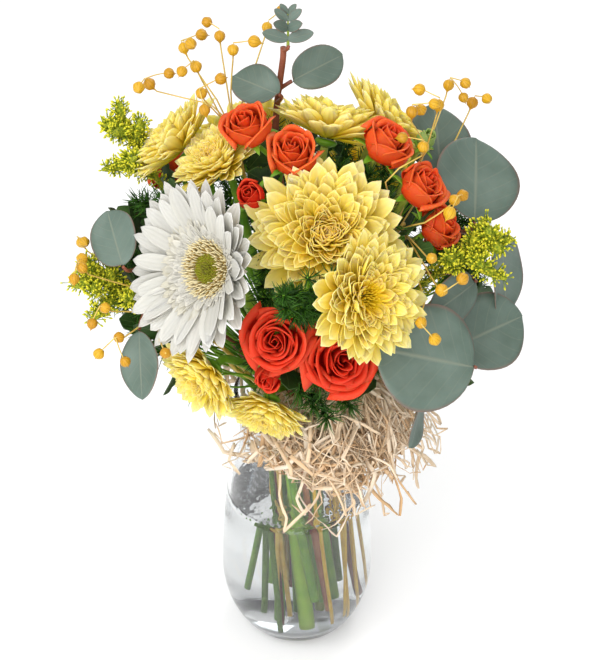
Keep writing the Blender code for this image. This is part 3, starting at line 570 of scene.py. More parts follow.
def gerbera_inner(head, paint, rng):
    """Rings of short rays that lie over the long ones like scales, shorter towards the eye."""
    sheets, radius = Sheets(), head.radius
    rings, most = 9, 38
    for ring in range(rings):
        count, share = most - ring, ring / (rings - 1)
        for i in range(count):
            turn = math.tau * (i + 0.5 * ring + 0.2 * rng.normal()) / count
            length = radius * mix(0.37, 0.07, share) * rng.uniform(0.85, 1.10)
            angles = [math.radians(a + rng.normal(0, 4)) for a in (27 + 4 * ring, 14 + 4 * ring)]
            petal = strap(length, radius * 0.080, *angles, 0.4, 7, 5, 0.7, 0.66, 0.5)
            petal = turned(petal, turn, radius * 0.27, radius * 0.010 * share, rng.normal(0, 0.2))
            sheets.add(head.place(petal), rng.random(), share)
    sheets.build("gerbera_inner_rays", paint, "white_petal", ["gerbera_head"])


def gerbera_eye(head, paint, rng):
    """A ring of pale stamens round a low green disc, on a shallow bed."""
    tubes, radius = Tubes(), head.radius
    florets(tubes, head, rng, 170, 0.0, 0.145, 0.045, 0.0088, 0.25)
    florets(tubes, head, rng, 40, 0.0, 0.05, 0.052, 0.0090, 0.05)
    florets(tubes, head, rng, 330, 0.150, 0.29, 0.095, 0.0068, 0.95)
    florets(tubes, head, rng, 150, 0.155, 0.28, 0.080, 0.0060, 0.60)
    bed = np.array([level_ring(r, z, 24) for r, z in ((0.29, -0.04), (0.30, 0.01), (0.20, 0.035))])
    poles = head.place(radius * np.array([[0, 0, -0.04], [0, 0, 0.036]]))
    tubes.add(head.place(radius * bed), *poles, 0.3, 0.45)
    tubes.build("gerbera_florets", paint, "gerbera_eye", ["gerbera_eye"])


def rose(head, paint, slot, rng, count, openness):
    """Petals wrapped in a spiral cup: a tight cone in the middle, broad flared rims outside."""
    sheets, radius = Sheets(), head.radius
    s, c = np.linspace(0, 1, 14)[:, None], np.linspace(-1, 1, 15)[None, :]
    for i in range(count):
        t = (i / (count - 1)) ** 0.9
        spread = mix(2.1, 0.98, t**0.5) * rng.uniform(0.85, 1.12)
        belly = radius * (0.07 + mix(0.66, 0.74, openness) * t)
        mouth = radius * (0.04 + mix(0.46, 0.92, openness) * t**1.1)
        low = -radius * mix(0.45, 0.80, t**0.6)
        drop = mix(0.06, 0.42, openness) * t**1.5
        high = radius * (mix(0.52, 0.46, openness) - drop + 0.06 * rng.normal())
        bulge = np.sin(math.pi * np.minimum(s / 0.9, 1) ** 0.8)
        out = radius * 0.10 * t * (1 - s) + mouth * s**0.8 + (belly - 0.55 * mouth) * bulge
        roll = radius * mix(0.10, 0.30, openness) * t * rng.uniform(0.4, 1.4)
        bend = np.clip((s - 0.76) / 0.24, 0, 1) ** 1.6 * (0.45 + 0.55 * c**2)
        wave = math.tau * rng.random()
        ripple = radius * (0.040 * np.sin(2.3 * c + wave) + 0.018 * np.sin(6.1 * c + 2 * wave)) * s**3
        out = out + roll * bend + ripple + radius * 0.07 * (c + 0.6) * (1 - t)
        sag = 1 - 0.30 * np.abs(c) ** 2.6 * s
        height = low + (high - low) * s * sag - 0.6 * roll * bend + ripple
        turn = i * GOLDEN + rng.normal(0, 0.16) + c * spread * (0.40 + 0.60 * np.sqrt(s))
        grid = np.stack([out * np.sin(turn), out * np.cos(turn), height + 0 * c], axis=-1)
        sheets.add(head.place(grid), rng.random(), t)
    sheets.build(f"{head.name}_petals", paint, slot, [head.name], 0.0004)


def calyx(tubes, sheets, head):
    """The green cup under a flower, and its sepals."""
    size = {"rose": 0.36, "bud": 0.62, "chrysanthemum": 0.24, "gerbera": 0.20}[head.kind]
    r, depth = size * head.solid_radius, SEAT[head.kind] * head.solid_radius
    rows = ((0.42, -1.0), (0.86, -0.86), (1.0, -0.70), (0.85, -0.58))
    rings = np.array([level_ring(k * r, z * depth, 16) for k, z in rows])
    ends = head.place(np.array([[0, 0, -1.02 * depth], [0, 0, -0.56 * depth]]))
    tubes.add(head.place(rings), *ends)
    if head.kind not in ("rose", "bud"):
        return
    length, width, count = 0.75 * head.solid_radius, 0.26 * head.solid_radius, 5
    for i in range(count):
        sepal = strap(length, width, 0.25, -0.35, 0.4, 7, 3, 0.9, 0.3)
        sepal = turned(sepal, math.tau * i / count, 0.8 * r, -0.84 * depth)
        sheets.add(head.place(sepal))


# Leaves ----------------------------------------------------


def leaf_grid(base, along, across, length, width, bend, cup, point, lobes=0.0, wave=0.0):
    """A leaf's blade as a grid. It starts at its base, bends back, is cupped across, and can be
    pointed, lobed and wavy."""
    s = np.linspace(0.0, 1.0, 21)[:, None]
    w = np.linspace(-1, 1, 9)[None, :]
    t = 0.5 - 0.5 * np.cos(math.pi * s)
    half = 0.5 * width * (np.maximum(np.sin(math.pi * s), 0.01) ** (1 + point * t))
    half = half * (1 + lobes * np.sin(2 * math.pi * 3.5 * t) * np.abs(w))
    lift = cup * half * w**2 - bend * length * t**2 + wave * np.sin(7 * t + 2 * w) * np.abs(w)
    flat = base + along * (t * length)[..., None] + across * (half * w)[..., None]
    return flat + np.cross(along, across) * lift[..., None]


def branch_of(name):
    return name.rsplit("_leaf_", 1)[0]


def eucalyptus_leaf(name, paint, rng):
    """A round leaf where its solid is, from the end nearest its branch to the other."""
    points, _ = solid(name)
    twig, _ = solid(branch_of(name))
    near = np.linalg.norm(points[:, None] - twig[None], axis=2).min(1)
    base = points[near.argmin()]
    middle = points.mean(0)
    spread = np.linalg.svd(points - middle, full_matrices=False)[2]
    normal = spread[2] * np.sign(spread[2] @ (middle - HEART) + 1e-9)
    line = middle - base
    along = unit(line - normal * (line @ normal))
    across = np.cross(normal, along)
    reach = (points - base) @ along
    side = (points - middle) @ across
    length, width = reach.max() * 1.02, (side.max() - side.min()) * 1.10
    base = base + across * ((middle - base) @ across)
    sheets = Sheets()
    grid = leaf_grid(base, along, across, length, width, 0.06, 0.12, 0.25, wave=0.0014)
    sheets.add(grid, rng.random())
    sheets.build(f"{name}_blade", paint, "eucalyptus_leaf", [name], 0.0005)


def tip_leaves(name, leaf, stem):
    """A thin shoot with small leaves in pairs, as high as the solid that stands for it."""
    points, twig = solid(name)[0], solid(branch_of(name))[0]
    foot, top = twig[twig[:, 2].argmax()], points[points[:, 2].argmax()]
    tubes, sheets = Tubes(), Sheets()
    tubes.add_path(np.linspace(foot - 0.003 * UP, top, 6), np.linspace(0.0011, 0.0004, 6), 8)
    pairs = ((0.18, 0.016, 84, 20), (0.50, 0.014, 40, 34), (0.74, 0.011, 84, 45), (0.94, 0.008, 84, 55))
    for share, length, bearing, rise in pairs:
        for side in (-1, 1):
            along = heading(side * bearing, rise)
            across = unit(np.cross(along, [0.15, 0.8, -0.6]))
            base = mix(foot, top, share)
            sheets.add(leaf_grid(base, along, across, length, 0.50 * length, 0.1, 0.2, 0.25), share)
    tubes.build("tip_shoot", stem, "green_stem")
    sheets.build("tip_leaves", leaf, "eucalyptus_leaf", [name], 0.0004)


def gaps(heads):
    """Places just under the bouquet's surface where no flower covers it, and the way out there."""
    centres = np.array([h.centre for h in heads.values()])
    radii = np.array([h.radius for h in heads.values()])
    reach = away(centres, HEART)
    blades = np.vstack([solid(n)[0] for n in NODES if "_leaf_" in n])
    found, tries = [], 420
    for k in range(tries):
        rise = math.asin(mix(-0.30, 0.98, (k + 0.5) / tries))
        out = heading(math.degrees(k * GOLDEN), math.degrees(rise))
        near = np.argsort(away(centres, HEART + 0.09 * out))[:3]
        surface = HEART + out * reach[near].mean()
        bare = (away(centres, surface) > 0.86 * radii).all()
        if bare and surface[2] > RIM + 0.05 and away(blades, surface).min() > 0.020:
            found.append((HEART + out * (reach[near].mean() - 0.014), out))
    return found


def sprig(tubes, spot, rng):
    """A thin stalk that joins a place in a gap to the middle of the stems."""
    foot = np.array([0.25 * spot[0], 0.25 * spot[1], RIM + 0.25 * (spot[2] - RIM)])
    path = bowed(foot, spot, 0.010 * unit(rng.normal(size=3)), 7)
    tubes.add_path(path, np.full(7, 0.0007), 5, rng.random())


def tuft(tubes, spot, out, rng, count=26, length=0.0125):
    """Fine soft needles that spread from one point of a fern's twig."""
    for _ in range(count):
        way = unit(out * rng.uniform(0.1, 1.1) + rng.normal(size=3) * 0.75)
        size = length * rng.uniform(0.65, 1.1)
        bow = 0.10 * size * unit(rng.normal(size=3))
        path = np.array([spot, spot + 0.5 * size * way + bow, spot + size * way])
        tubes.add_path(path, np.array([0.00034, 0.00040, 0.00008]), 3, rng.random())


def greenery(heads, paint, rng):
    """Fern tufts and dark lobed leaves in the gaps between the flowers, on stalks of their own, and
    a row of tufts under the gerbera's edge."""
    stalks, needles, blades = Tubes(), Tubes(), Sheets()
    for k, (spot, out) in enumerate(gaps(heads)):
        sprig(stalks, spot, rng)
        if k % 5 < 3:
            for step in range(3):
                tuft(needles, spot + out * (0.006 * step - 0.006), out, rng)
            continue
        along = unit(out + 0.7 * rng.normal(size=3))
        across = unit(np.cross(along, out + 0.4 * rng.normal(size=3)))
        length = rng.uniform(0.026, 0.038)
        start, width = spot - 0.4 * length * along, 0.55 * length
        blade = leaf_grid(start, along, across, length, width, 0.2, 0.2, 0.5, lobes=0.25)
        blades.add(blade, rng.random())
    gerbera = heads["gerbera_head"]
    side = unit(np.array([1.0, 0.0, 0.0]) - gerbera.axis * gerbera.axis[0])
    upwards = np.cross(gerbera.axis, side)
    for share in np.linspace(-0.65, 0.28, 7):
        edge = gerbera.centre + gerbera.solid_radius * (0.34 * side + share * upwards)
        for step in range(2):
            tuft(needles, edge + gerbera.axis * (0.006 * step - 0.034), gerbera.axis, rng)
    stalks.build("sprig_stalks", paint["stem_green"], "green_stem")
    needles.build("fern_tufts", paint["fern"], "fern_green")
    blades.build("stem_leaves", paint["foliage"], "green_stem", (), 0.0004)


# Ferns, goldenrod and flax ---------------------------------


def fern(name, paint, twig, rng):
    """Tufts all along the upper shoots of a fern's solid."""
    points, faces = solid(name)
    spots, ways = surface_samples(points, faces, 400, rng)
    keep = spots[:, 2] > points[:, 2].max() - GROWTH
    tubes, tufts = Tubes(), 110
    for spot, way in zip(spots[keep][:tufts], ways[keep]):
        tuft(tubes, spot, unit(way + 0.6 * UP), rng, 20, 0.0105)
    tubes.build(f"{name}_needles", paint, "fern_green")
    dress(name, twig)


def goldenrod(name, paint, twig, rng):
    """Tiny florets on short stalks, crowded along the sprays of a plume."""
    points, faces = solid(name)
    spots, ways = surface_samples(points, faces, 3200, rng)
    far = np.linalg.norm(points[:, :2], axis=1).max()
    high = spots[:, 2] > points[:, 2].max() - GROWTH
    keep = high & (np.linalg.norm(spots[:, :2], axis=1) > far - GROWTH)
    tubes, most = Tubes(), 1100
    for spot, way in zip(spots[keep][:most], ways[keep]):
        lean = unit(way + 0.5 * UP + 0.6 * rng.normal(size=3))
        reach = rng.uniform(0.0008, 0.0046)
        size = rng.uniform(0.00050, 0.00085)
        joint, tip = spot + lean * reach, spot + lean * (reach + 3.2 * size)
        path = np.array([spot, joint, mix(joint, tip, 0.5), tip])
        tubes.add_path(path, np.array([0.00016, 0.00030, size, 0.45 * size]), 5, rng.random())
    tubes.build(f"{name}_florets", paint, "goldenrod")
    dress(name, twig)


def pods_of(name):
    """Centre and way of each pod on a flax solid: round it, the stalk's wall stands well out."""
    points, faces = solid(name)
    tree = BVHTree.FromPolygons(points.tolist(), faces.tolist())
    corners = points[faces]
    normals = np.cross(corners[:, 1] - corners[:, 0], corners[:, 2] - corners[:, 0])
    normals /= np.maximum(np.linalg.norm(normals, axis=1), 1e-12)[:, None]
    inside = []
    for middle, normal in zip(corners.mean(1), normals):
        hit = tree.ray_cast(Vector(middle - normal * 1e-5), Vector(-normal))
        if hit[3] is not None and 0.68 * POD < hit[3] < 1.3 * POD:
            inside.append(middle - normal * hit[3] / 2)
    spots, pods = np.array(inside), []
    while len(spots):
        near = away(spots, spots[0]) < 0.9 * POD
        group, spots = spots[near], spots[~near]
        if len(group) < 4:
            continue
        centre = group.mean(0)
        mine = points[away(points, centre) < 1.1 * POD]
        tip = mine[away(mine, centre).argmax()]
        pods.append((centre, unit(tip - centre)))
    return pods


def add_pod(tubes, centre, way, rng):
    """A ribbed round pod that comes to a point."""
    turn = np.linspace(0, math.tau, 20, endpoint=False)
    ribbed = 1 + 0.045 * np.cos(5 * turn)
    rows = ((0.30, -1.0), (0.74, -0.74), (0.98, -0.3), (1, 0.1), (0.8, 0.58), (0.4, 0.9), (0.10, 1.2))
    r = 0.54 * POD * rng.uniform(0.88, 1.06)
    u, v = square_axes(way)
    flat = np.cos(turn)[:, None] * u + np.sin(turn)[:, None] * v
    rings = [centre + r * (k * ribbed[:, None] * flat + z * way) for k, z in rows]
    tubes.add(np.array(rings), centre - 1.08 * r * way, centre + 1.6 * r * way, rng.random())


def side_pod(pods, stalks, heads, stalk_points, centre, way, rng):
    """One more pod beside another, on a thin stalk of its own, unless a flower is in its way."""
    side = unit(np.cross(way, rng.normal(size=3)))
    spot = centre + rng.uniform(0.008, 0.013) * side - rng.uniform(-0.004, 0.010) * way
    if any(np.linalg.norm(spot - head.centre) < head.radius + POD for head in heads.values()):
        return
    start = stalk_points[away(stalk_points, centre - 0.024 * way).argmin()]
    length = np.linalg.norm(spot - start)
    tip = unit(spot - start + 0.4 * length * way)
    path = bowed(start, spot, 0.07 * length * side, 8)
    stalks.add_path(path, np.linspace(0.00042, 0.00034, 8), 5, rng.random())
    add_pod(pods, spot + 0.4 * POD * tip, tip, rng)


def lower_stalk(stalks, points, rng):
    """One more stalk beside a flax solid's own, from its foot to just over the vase's rim."""
    foot, top = points[:, 2].min(), RIM + 0.05
    shift = rng.uniform(0.0018, 0.0028) * heading(rng.uniform(0, 360))
    path = []
    for z in np.linspace(foot + rng.uniform(0, 0.012), top, 16):
        level = points[np.argsort(np.abs(points[:, 2] - z))[:10]].mean(0)
        path.append(level * [1, 1, 0] + [0, 0, z] + shift)
    stalks.add_path(np.array(path), np.full(16, rng.uniform(0.0008, 0.0011)), 6, rng.random())


def flax(name, heads, pod_finish, stalk_finish, rng):
    """Pods on the thin stalks of the CAD, with more of them on side stalks of their own."""
    points, _ = solid(name)
    pods, stalks = Tubes(), Tubes()
    for k, (centre, way) in enumerate(pods_of(name)):
        add_pod(pods, centre, way, rng)
        for _ in range(1 + k % 2):
            side_pod(pods, stalks, heads, points, centre, way, rng)
    for _ in range(3):
        lower_stalk(stalks, points, rng)
    pods.build(f"{name}_pods", pod_finish, "flax_gold")
    stalks.build(f"{name}_stalks", stalk_finish, "flax_gold")
    dress(name, stalk_finish, 0)


def straw_stems(paint, rng):
    """The flax's own thin stalks, down through the mouth and fanned out in the water on the right."""
    tubes = Tubes()
    inner = vase_rows()[1]
    for bearing in (38, 52, 60, 71, 80, 92):
        z = rng.uniform(0.012, 0.030)
        foot = 0.80 * np.interp(z, inner[:, 1], inner[:, 0]) * heading(bearing) + [0, 0, z]
        top = 0.55 * VASE_MOUTH * heading(bearing + rng.normal(0, 12)) + [0, 0, RIM + 0.01]
        path = bowed(foot, top, 0.004 * unit(rng.normal(size=3)), 12)
        tubes.add_path(path, np.full(12, 0.0012), 8, rng.random())
    tubes.build("straw_stems", paint, "flax_gold")


def dress(name, material, smooth=1):
    """Keeps a CAD solid in view with its own finish. If smoothed, it is rounded between ends that
    stay cut flat."""
    obj = NODES[name]
    obj.data.materials.clear()
    obj.data.materials.append(material)
    weld = obj.modifiers.new("Weld", "WELD")
    weld.merge_threshold = 0.00002
    if smooth:
        ends = obj.modifiers.new("Ends", "BEVEL")
        ends.width, ends.segments = 0.0002, 2
        ends.limit_method, ends.angle_limit = "ANGLE", math.radians(75)
        round_off = obj.modifiers.new("Round", "SUBSURF")
        round_off.levels = round_off.render_levels = smooth
        fill = obj.modifiers.new("Fill", "DISPLACE")
        fill.strength, fill.mid_level = 0.00035, 0.0
    obj.data.shade_smooth()


# Raffia ----------------------------------------------------


class Nest:
    """The ring of the raffia solid: its centre line and thickness at each bearing."""

    def __init__(self):
        points, _ = solid("raffia")
        bearing = np.degrees(np.arctan2(points[:, 0], -points[:, 1])) % 360
        out = np.linalg.norm(points[:, :2], axis=1)
        step, window = 15.0, 11.0
        self.bearings = np.arange(0, 360 + step, step)
        self.out, self.height, self.thick = [], [], []
        for b in self.bearings:
            near = np.abs(apart(bearing, b)) < window
            top = points[near][points[near][:, 2].argmax()]
            inner = out[near & (points[:, 2] > RIM)].min()
            self.out.append(np.linalg.norm(top[:2]))
            self.thick.append(max(self.out[-1] - inner, 0.006))
            self.height.append(top[2] - self.thick[-1])
        rows = vase_rows()[0]
        self.wall = rows[rows[:, 1].argsort()]

    def at(self, bearing, turn, far):
        """A point at a bearing, a turn round the ring's section and a share of its radius."""
        rows = (self.out, self.height, self.thick)
        out, height, thick = (np.interp(bearing % 360, self.bearings, row) for row in rows)
        heap = 1 + 0.45 * np.exp(-((apart(bearing, HEAP) / 42) ** 2))
        r, z = out + far * heap * thick * np.cos(turn), height + far * heap * thick * np.sin(turn)
        b = np.radians(bearing)
        return self.clear(np.stack([r * np.sin(b), -r * np.cos(b), z], axis=-1))

    def clear(self, path):
        """A path that stays outside the glass wherever it is below the rim."""
        r, gap = np.linalg.norm(path[..., :2], axis=-1), 0.0012
        wall = np.interp(path[..., 2], self.wall[:, 1], self.wall[:, 0]) + gap
        below = (path[..., 2] < RIM + 0.001) & (r < wall) & (r > 0.8 * wall)
        path[..., :2] *= np.where(below, wall / np.maximum(r, 1e-6), 1.0)[..., None]
        return path


def creased(knots, rng, between=3):
    """A path through knots with nearly straight runs and sharp bends, as dry raffia lies."""
    path = [knots[0]]
    for a, b in zip(knots, knots[1:]):
        bow = 0.06 * np.linalg.norm(b - a) * unit(rng.normal(size=3))
        for t in (np.arange(between) + 1) / between:
            path.append(mix(a, b, t) + bow * math.sin(math.pi * t))
    return np.array(path)


def ribbon(path, width, rng):
    """A thin strip along a path, folded a little along its middle."""
    tangents = directions(path)
    side, rows = unit(np.cross(tangents[0], unit(rng.normal(size=3)))), []
    for k, (centre, tangent) in enumerate(zip(path, tangents)):
        side = unit(side - tangent * (side @ tangent))
        spin = rng.normal(0, 0.22)
        side = unit(math.cos(spin) * side + math.sin(spin) * np.cross(tangent, side))
        half = 0.5 * width * (0.6 if k in (0, len(path) - 1) else rng.uniform(0.88, 1.08))
        fold = 0.07 * width * np.cross(tangent, side)
        rows.append([centre - half * side, centre + fold, centre + half * side])
    return np.array(rows)


def nest_path(nest, front, rng):
    """A strip's way through the nest: short runs, each to a nearby place in the ring."""
    bearing = rng.normal(HEAP, 28) if front else rng.uniform(10, 260)
    turn, far, knots = rng.uniform(-1.5, 3.0), rng.uniform(0.25, 1.05), []
    way = rng.choice([-1, 1])
    for _ in range(rng.integers(4, 9)):
        knots.append(nest.at(np.array(bearing), turn, far))
        bearing += way * rng.uniform(-6, 15)
        turn += rng.normal(0, 0.8)
        far = np.clip(far + rng.normal(0, 0.28), 0.15, 1.12)
    return creased(np.array(knots), rng)


def loop_path(nest, bearing, out, drop, rng):
    """A strip that hangs out of the nest in a loop and comes back to it, or ends in the air."""
    turn = rng.uniform(-1.2, 0.6)
    knots = [nest.at(np.array(bearing), turn, 0.6)]
    sweep, closed = rng.uniform(-24, 24), rng.random() < 0.55
    for t, share in ((0.2, 0.55), (0.42, 0.95), (0.6, 1.0), (0.8, 0.8), (1.0, 0.35)):
        if t > 0.7 and not closed:
            break
        b = math.radians(bearing + sweep * t)
        spot = nest.at(np.array(bearing + sweep * t), turn, 0.9)
        spot = spot + out * share * np.array([math.sin(b), -math.cos(b), 0.0])
        knots.append(spot - [0, 0, drop * share] + 0.003 * rng.normal(size=3))
    return creased(nest.clear(np.array(knots)), rng, 4)


def mouth_path(rng):
    """A strip stuffed between the stems in the vase's mouth."""
    knots, wide = [], VASE_MOUTH - 0.003
    bearing, out, z = rng.uniform(0, 360), rng.uniform(0.4, 1.0) * wide, RIM - rng.uniform(0.0, 0.026)
    for _ in range(5):
        knots.append(out * heading(bearing) + [0, 0, z])
        bearing += rng.normal(0, 45)
        out = np.clip(out + rng.normal(0, 0.008), 0.35 * wide, wide)
        z += rng.normal(0.001, 0.006)
    return creased(np.array(knots), rng)


def raffia(paint, rng):
    """Creased strips heaped in the nest, stuffed in the mouth, and hanging out in loops."""
    nest, sheets = Nest(), Sheets()
    heaped, stuffed, hanging = 760, 90, 46
    widths = [0.0009, 0.0014, 0.0020, 0.0028]
    paths = [nest_path(nest, k % 8 > 0, rng) for k in range(heaped)]
    paths += [mouth_path(rng) for _ in range(stuffed)]
    for _ in range(hanging):
        out, drop = rng.uniform(0.004, 0.026), rng.uniform(0.004, 0.036)
        paths.append(loop_path(nest, rng.normal(HEAP + 10, 30), out, drop, rng))
    for path in paths:
        sheets.add(ribbon(path, rng.choice(widths), rng), rng.random(), rng.random())
    sheets.build("raffia_strips", paint, "raffia", ["raffia"], 0.00018)


# Glass and water -------------------------------------------


def smooth_rows(rows):
    """A smooth curve through rows, for a finer outline."""
    ends = np.vstack([2 * rows[0] - rows[1], rows, 2 * rows[-1] - rows[-2]])
    out, steps = [], 7
    for a, b, c, d in zip(ends, ends[1:], ends[2:], ends[3:]):
        for t in np.linspace(0, 1, steps, endpoint=False):
            second, third = 2 * a - 5 * b + 4 * c - d, 3 * b - a - 3 * c + d
            out.append(0.5 * (2 * b + (c - a) * t + second * t**2 + third * t**3))
    return np.array(out + [rows[-1]])


def lathe(name, rows, low, high, material):
    """A body turned about the upright axis, from rows of radius and height."""
    tubes, sides = Tubes(), 144
    tubes.add(np.array([level_ring(r, z, sides) for r, z in rows]), [0, 0, low], [0, 0, high])
    return add_mesh(name, np.vstack(tubes.points), tubes.faces, material)


def glass_and_water(glass, water):
    """The vase's thick glass, and the water, which laps a little into it and climbs its wall."""
    outer, inner = vase_rows()
    lip = outer[outer[:, 1] > RIM - 1e-5]
    side = outer[outer[:, 1] <= RIM - 1e-5]
    floor = inner[0, 1]
    outline = np.vstack([smooth_rows(side), lip[np.argsort(-lip[:, 0])], smooth_rows(inner)[::-1]])
    settle(lathe("vase_glass", outline, 0.0, floor, glass), ["vase"])
    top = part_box("water")[1][2]
    rows, lap = smooth_rows(inner), 0.0003
    rows = rows[rows[:, 1] < top - 0.001]
    radius = np.interp(top, inner[:, 1], inner[:, 0])
    rim = [(radius, top + 0.0006), (radius - 0.0009, top + 0.0002), (radius - 0.0026, top)]
    rows = np.vstack([rows + [lap, 0.0], [(radius + lap, top + 0.0009)], rim])
    rows[0, 1] = floor - lap
    settle(lathe("water_body", rows, floor - lap, top, water), ["water"])


# The scene -------------------------------------------------


def paints():
    """Every finish, by the name that the builders below use."""
    return {
        "glass": clear_paint("clear_glass", (0.66, 0.70, 0.74), 1.50, 30.0),
        "water": clear_paint("clear_water", (0.80, 0.86, 0.84), 1.33, 1.0, 0.006),
        "lemon": petal_paint("lemon_petal", (0.90, 0.50, 0.001), (0.95, 0.66, 0.006), (0.95, 0.85, 0.42)),
        "white": petal_paint("white_ray", (0.58, 0.55, 0.40), (0.60, 0.585, 0.52), (0.62, 0.61, 0.57), 4.0),
        "cream": petal_paint("cream_ray", (0.60, 0.56, 0.42), (0.62, 0.60, 0.52), (0.62, 0.58, 0.49), 1.0),
        "bud": petal_paint("green_bud", (0.16, 0.26, 0.05), (0.18, 0.30, 0.06), (0.34, 0.42, 0.14), 2.0),
        "red": petal_paint(
            "red_rose", (0.36, 0.001, 0.001), (0.54, 0.004, 0.002), (0.80, 0.075, 0.026), 2.0, 0.5
        ),
        "coral": petal_paint(
            "coral_rose", (0.50, 0.008, 0.002), (0.68, 0.045, 0.004), (0.84, 0.150, 0.036), 2.0, 0.5
        ),
        "disc": plain_paint(
            "yellow_disc", ((0.0, (0.62, 0.40, 0.003)), (1.0, (0.86, 0.62, 0.02))), "along"
        ),
        "eye": plain_paint(
            "eye_floret",
            (
                (0.0, (0.10, 0.08, 0.004)),
                (0.25, (0.24, 0.25, 0.006)),
                (0.45, (0.25, 0.17, 0.03)),
                (0.62, (0.42, 0.26, 0.05)),
                (0.95, (0.80, 0.71, 0.44)),
            ),
            "rank",
        ),
        "stem_light": stem_paint("light_stem", (0.25, 0.52, 0.02), (0.42, 0.66, 0.06)),
        "stem_green": stem_paint("green_stem", (0.09, 0.28, 0.008), (0.26, 0.48, 0.03)),
        "stem_olive": stem_paint("olive_stem", (0.24, 0.32, 0.03), (0.42, 0.50, 0.08)),
        "stem_red": stem_paint("red_stem", (0.30, 0.06, 0.03), (0.48, 0.20, 0.07), 40.0),
        "twig": stem_paint("red_twig", (0.14, 0.035, 0.018), (0.32, 0.10, 0.050), 90.0),
        # The stalks in the water: the straw's tones painted brighter and yellower, as painted light against
        # the shade that falls on them in the vase.
        "straw_painted_light": stem_paint("straw_stem_painted_light", (0.80, 0.46, 0.02), (0.95, 0.66, 0.07), 90.0),
        "straw": stem_paint("straw_stalk", (0.62, 0.40, 0.06), (0.82, 0.60, 0.16), 120.0),
        "leaf": leaf_paint(
            "eucalyptus",
            dark=(0.095, 0.140, 0.110),
            light=(0.150, 0.205, 0.170),
            vein=(0.20, 0.235, 0.18),
            margin=(0.25, 0.14, 0.11),
        ),
        "foliage": leaf_paint(
            "stem_leaf",
            dark=(0.012, 0.045, 0.006),
            light=(0.045, 0.105, 0.016),
            vein=(0.09, 0.16, 0.04),
            margin=(0.05, 0.10, 0.02),
        ),
        "fern": plain_paint("fern", ((0.0, (0.006, 0.038, 0.001)), (1.0, (0.050, 0.170, 0.006)))),
        "goldenrod": plain_paint(
            "goldenrod",
            ((0.0, (0.10, 0.20, 0.008)), (0.5, (0.32, 0.38, 0.008)), (0.85, (0.76, 0.70, 0.03))),
            "along",
        ),
        "plume": plume_paint(
            "goldenrod_plume", (0.12, 0.24, 0.02), (0.14, 0.22, 0.008), (0.52, 0.52, 0.02)
        ),
        "pod": pod_paint("flax_pod", (0.70, 0.40, 0.018), (0.52, 0.25, 0.008), (0.26, 0.10, 0.006)),
        "raffia": plain_paint(
            "raffia",
            ((0.0, (0.68, 0.44, 0.23)), (0.35, (0.80, 0.61, 0.41)), (1.0, (0.86, 0.74, 0.58))),
            grain=300.0,
        ),
    }


def build_rose(head, paint, rng):
    if head.name == "rosebud_green":
        rose(head, paint["bud"], "rosebud_green", rng, 7, 0.1)
        return
    front = head.name in FRONT_ROSES
    if head.kind == "bud":
        count, openness = 11, 0.3
    elif front:
        count, openness = 24, 1.0
    else:
        count, openness = 18, 0.55
    rose(head, paint["red" if front else "coral"], "coral_petal", rng, count, openness)


def build_flowers(heads, paint):
    cups, sepals = Tubes(), Sheets()
    for k, head in enumerate(heads.values()):
        rng = seeded(100 + k)
        if head.kind == "chrysanthemum":
            opened = head.name in OPENED
            chrysanthemum(head, paint["lemon"], rng, opened)
            if opened:
                flower_disc(head, paint["disc"], rng)
        elif head.kind == "gerbera":
            gerbera_rays(head, paint["white"], rng)
            gerbera_inner(head, paint["cream"], rng)
            gerbera_eye(head, paint["eye"], rng)
        else:
            build_rose(head, paint, rng)
        calyx(cups, sepals, head)
    cups.build("calyx_cups", paint["stem_green"], "green_stem")
    sepals.build("sepals", paint["stem_green"], "green_stem", (), 0.0004)


def dress_stems(paint):
    tones = {
        "gerbera_stem": "stem_light",
        "chrysanthemum_stem_a": "stem_light",
        "chrysanthemum_stem_c": "stem_olive",
        "rose_stem_a": "stem_red",
        "rose_stem_g": "stem_olive",
    }
    for name in sorted(NODES):
        if "_stem" in name:
            dress(name, paint[tones.get(name, "stem_green")], 2)
        elif name.startswith("eucalyptus_") and "_leaf_" not in name:
            dress(name, paint["twig"], 2)


def build_leaves(paint):
    leaves = [name for name in named("eucalyptus_") if "_leaf_" in name]
    tip = max(leaves, key=lambda name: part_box(name)[1][2])
    for k, name in enumerate(leaves):
        if name == tip:
            tip_leaves(name, paint["leaf"], paint["stem_olive"])
        else:
            eucalyptus_leaf(name, paint["leaf"], seeded(300 + k))


def build_green(heads, paint):
    dress_stems(paint)
    build_leaves(paint)
    greenery(heads, paint, seeded(5))
    for k, name in enumerate(named("fern_")):
        fern(name, paint["fern"], paint["stem_green"], seeded(400 + k))
    for k, name in enumerate(named("goldenrod_")):
        goldenrod(name, paint["goldenrod"], paint["plume"], seeded(500 + k))
    for k, name in enumerate(named("flax_")):
        flax(name, heads, paint["pod"], paint["straw"], seeded(600 + k))
    # The stalks in the water take the straw finish painted brighter, as painted light.
    straw_stems(paint["straw_painted_light"], seeded(8))


def area_light(name, place, aim, size, power):
    data = bpy.data.lights.new(name, "AREA")
    data.shape, data.size, data.energy = "SQUARE", size, power
    lamp = bpy.data.objects.new(name, data)
    lamp.location = place
    lamp.rotation_euler = (Vector(aim) - Vector(place)).to_track_quat("-Z", "Y").to_euler()
    bpy.context.scene.collection.objects.link(lamp)


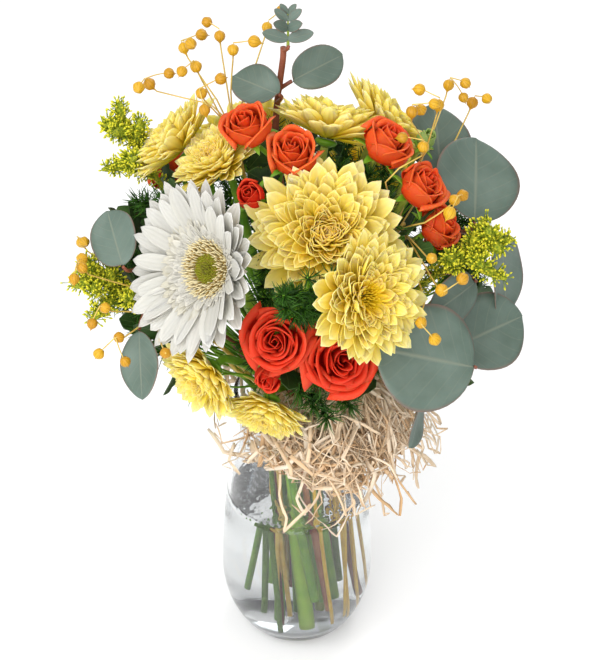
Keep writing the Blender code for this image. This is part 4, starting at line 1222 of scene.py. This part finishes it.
def world_light():
    """A soft studio: bright above, dimmer near the horizon, so that glass has edges."""
    world = bpy.data.worlds.new("Studio")
    world.use_nodes = True
    tree = world.node_tree
    place = tree.nodes.new("ShaderNodeTexCoord")
    split = tree.nodes.new("ShaderNodeSeparateXYZ")
    ramp = tree.nodes.new("ShaderNodeValToRGB")
    tree.links.new(place.outputs["Generated"], split.inputs[0])
    tree.links.new(split.outputs["Z"], ramp.inputs["Fac"])
    horizon, sky = ramp.color_ramp.elements
    horizon.color, horizon.position = (0.62, 0.63, 0.65, 1), 0.02
    sky.color, sky.position = (1, 1, 1, 1), 0.55
    background = tree.nodes["Background"]
    tree.links.new(ramp.outputs["Color"], background.inputs["Color"])
    background.inputs["Strength"].default_value = 0.75
    bpy.context.scene.world = world


def studio():
    """Three soft lights and a pale floor, which glows a little so that it stays light."""
    bpy.context.scene.view_settings.view_transform = "Standard"
    world_light()
    area_light("Front", (-0.25, -1.35, 0.95), (0, 0, 0.24), 1.1, 14)
    area_light("Key", (-0.8, -0.6, 1.5), (0, 0, 0.28), 0.8, 9)
    area_light("Back", (0.5, 1.1, 1.2), (0, 0, 0.30), 0.8, 7)
    paint = Paint("pale_floor", 0.7)
    paint.fix("Base Color", (0.88, 0.88, 0.88, 1))
    paint.fix("Emission Color", (1, 1, 1, 1))
    paint.fix("Emission Strength", 0.14)
    paint.fix("Specular IOR Level", 0.1)
    half, level = 12.0, VASE_LOW[2] - 0.0005
    corners = [(-half, -half), (half, -half), (half, half), (-half, half)]
    corners = np.array([(x, y, level) for x, y in corners])
    floor = add_mesh("studio_floor", corners, [[0, 1, 2, 3]], paint.material)


def photo_camera():
    data = bpy.data.cameras.new("Camera")
    data.lens, data.sensor_width = 103.6, 36.0
    camera = bpy.data.objects.new("Camera", data)
    camera.location = (0.0022, -1.0135, 0.968)
    camera.rotation_euler = (math.radians(54.6), 0.0, 0.0)
    bpy.context.scene.collection.objects.link(camera)
    bpy.context.scene.camera = camera


def main():
    paint = paints()
    heads = head_frames()
    build_flowers(heads, paint)
    build_green(heads, paint)
    raffia(paint["raffia"], seeded(7))
    glass_and_water(paint["glass"], paint["water"])
    studio()
    photo_camera()


main()
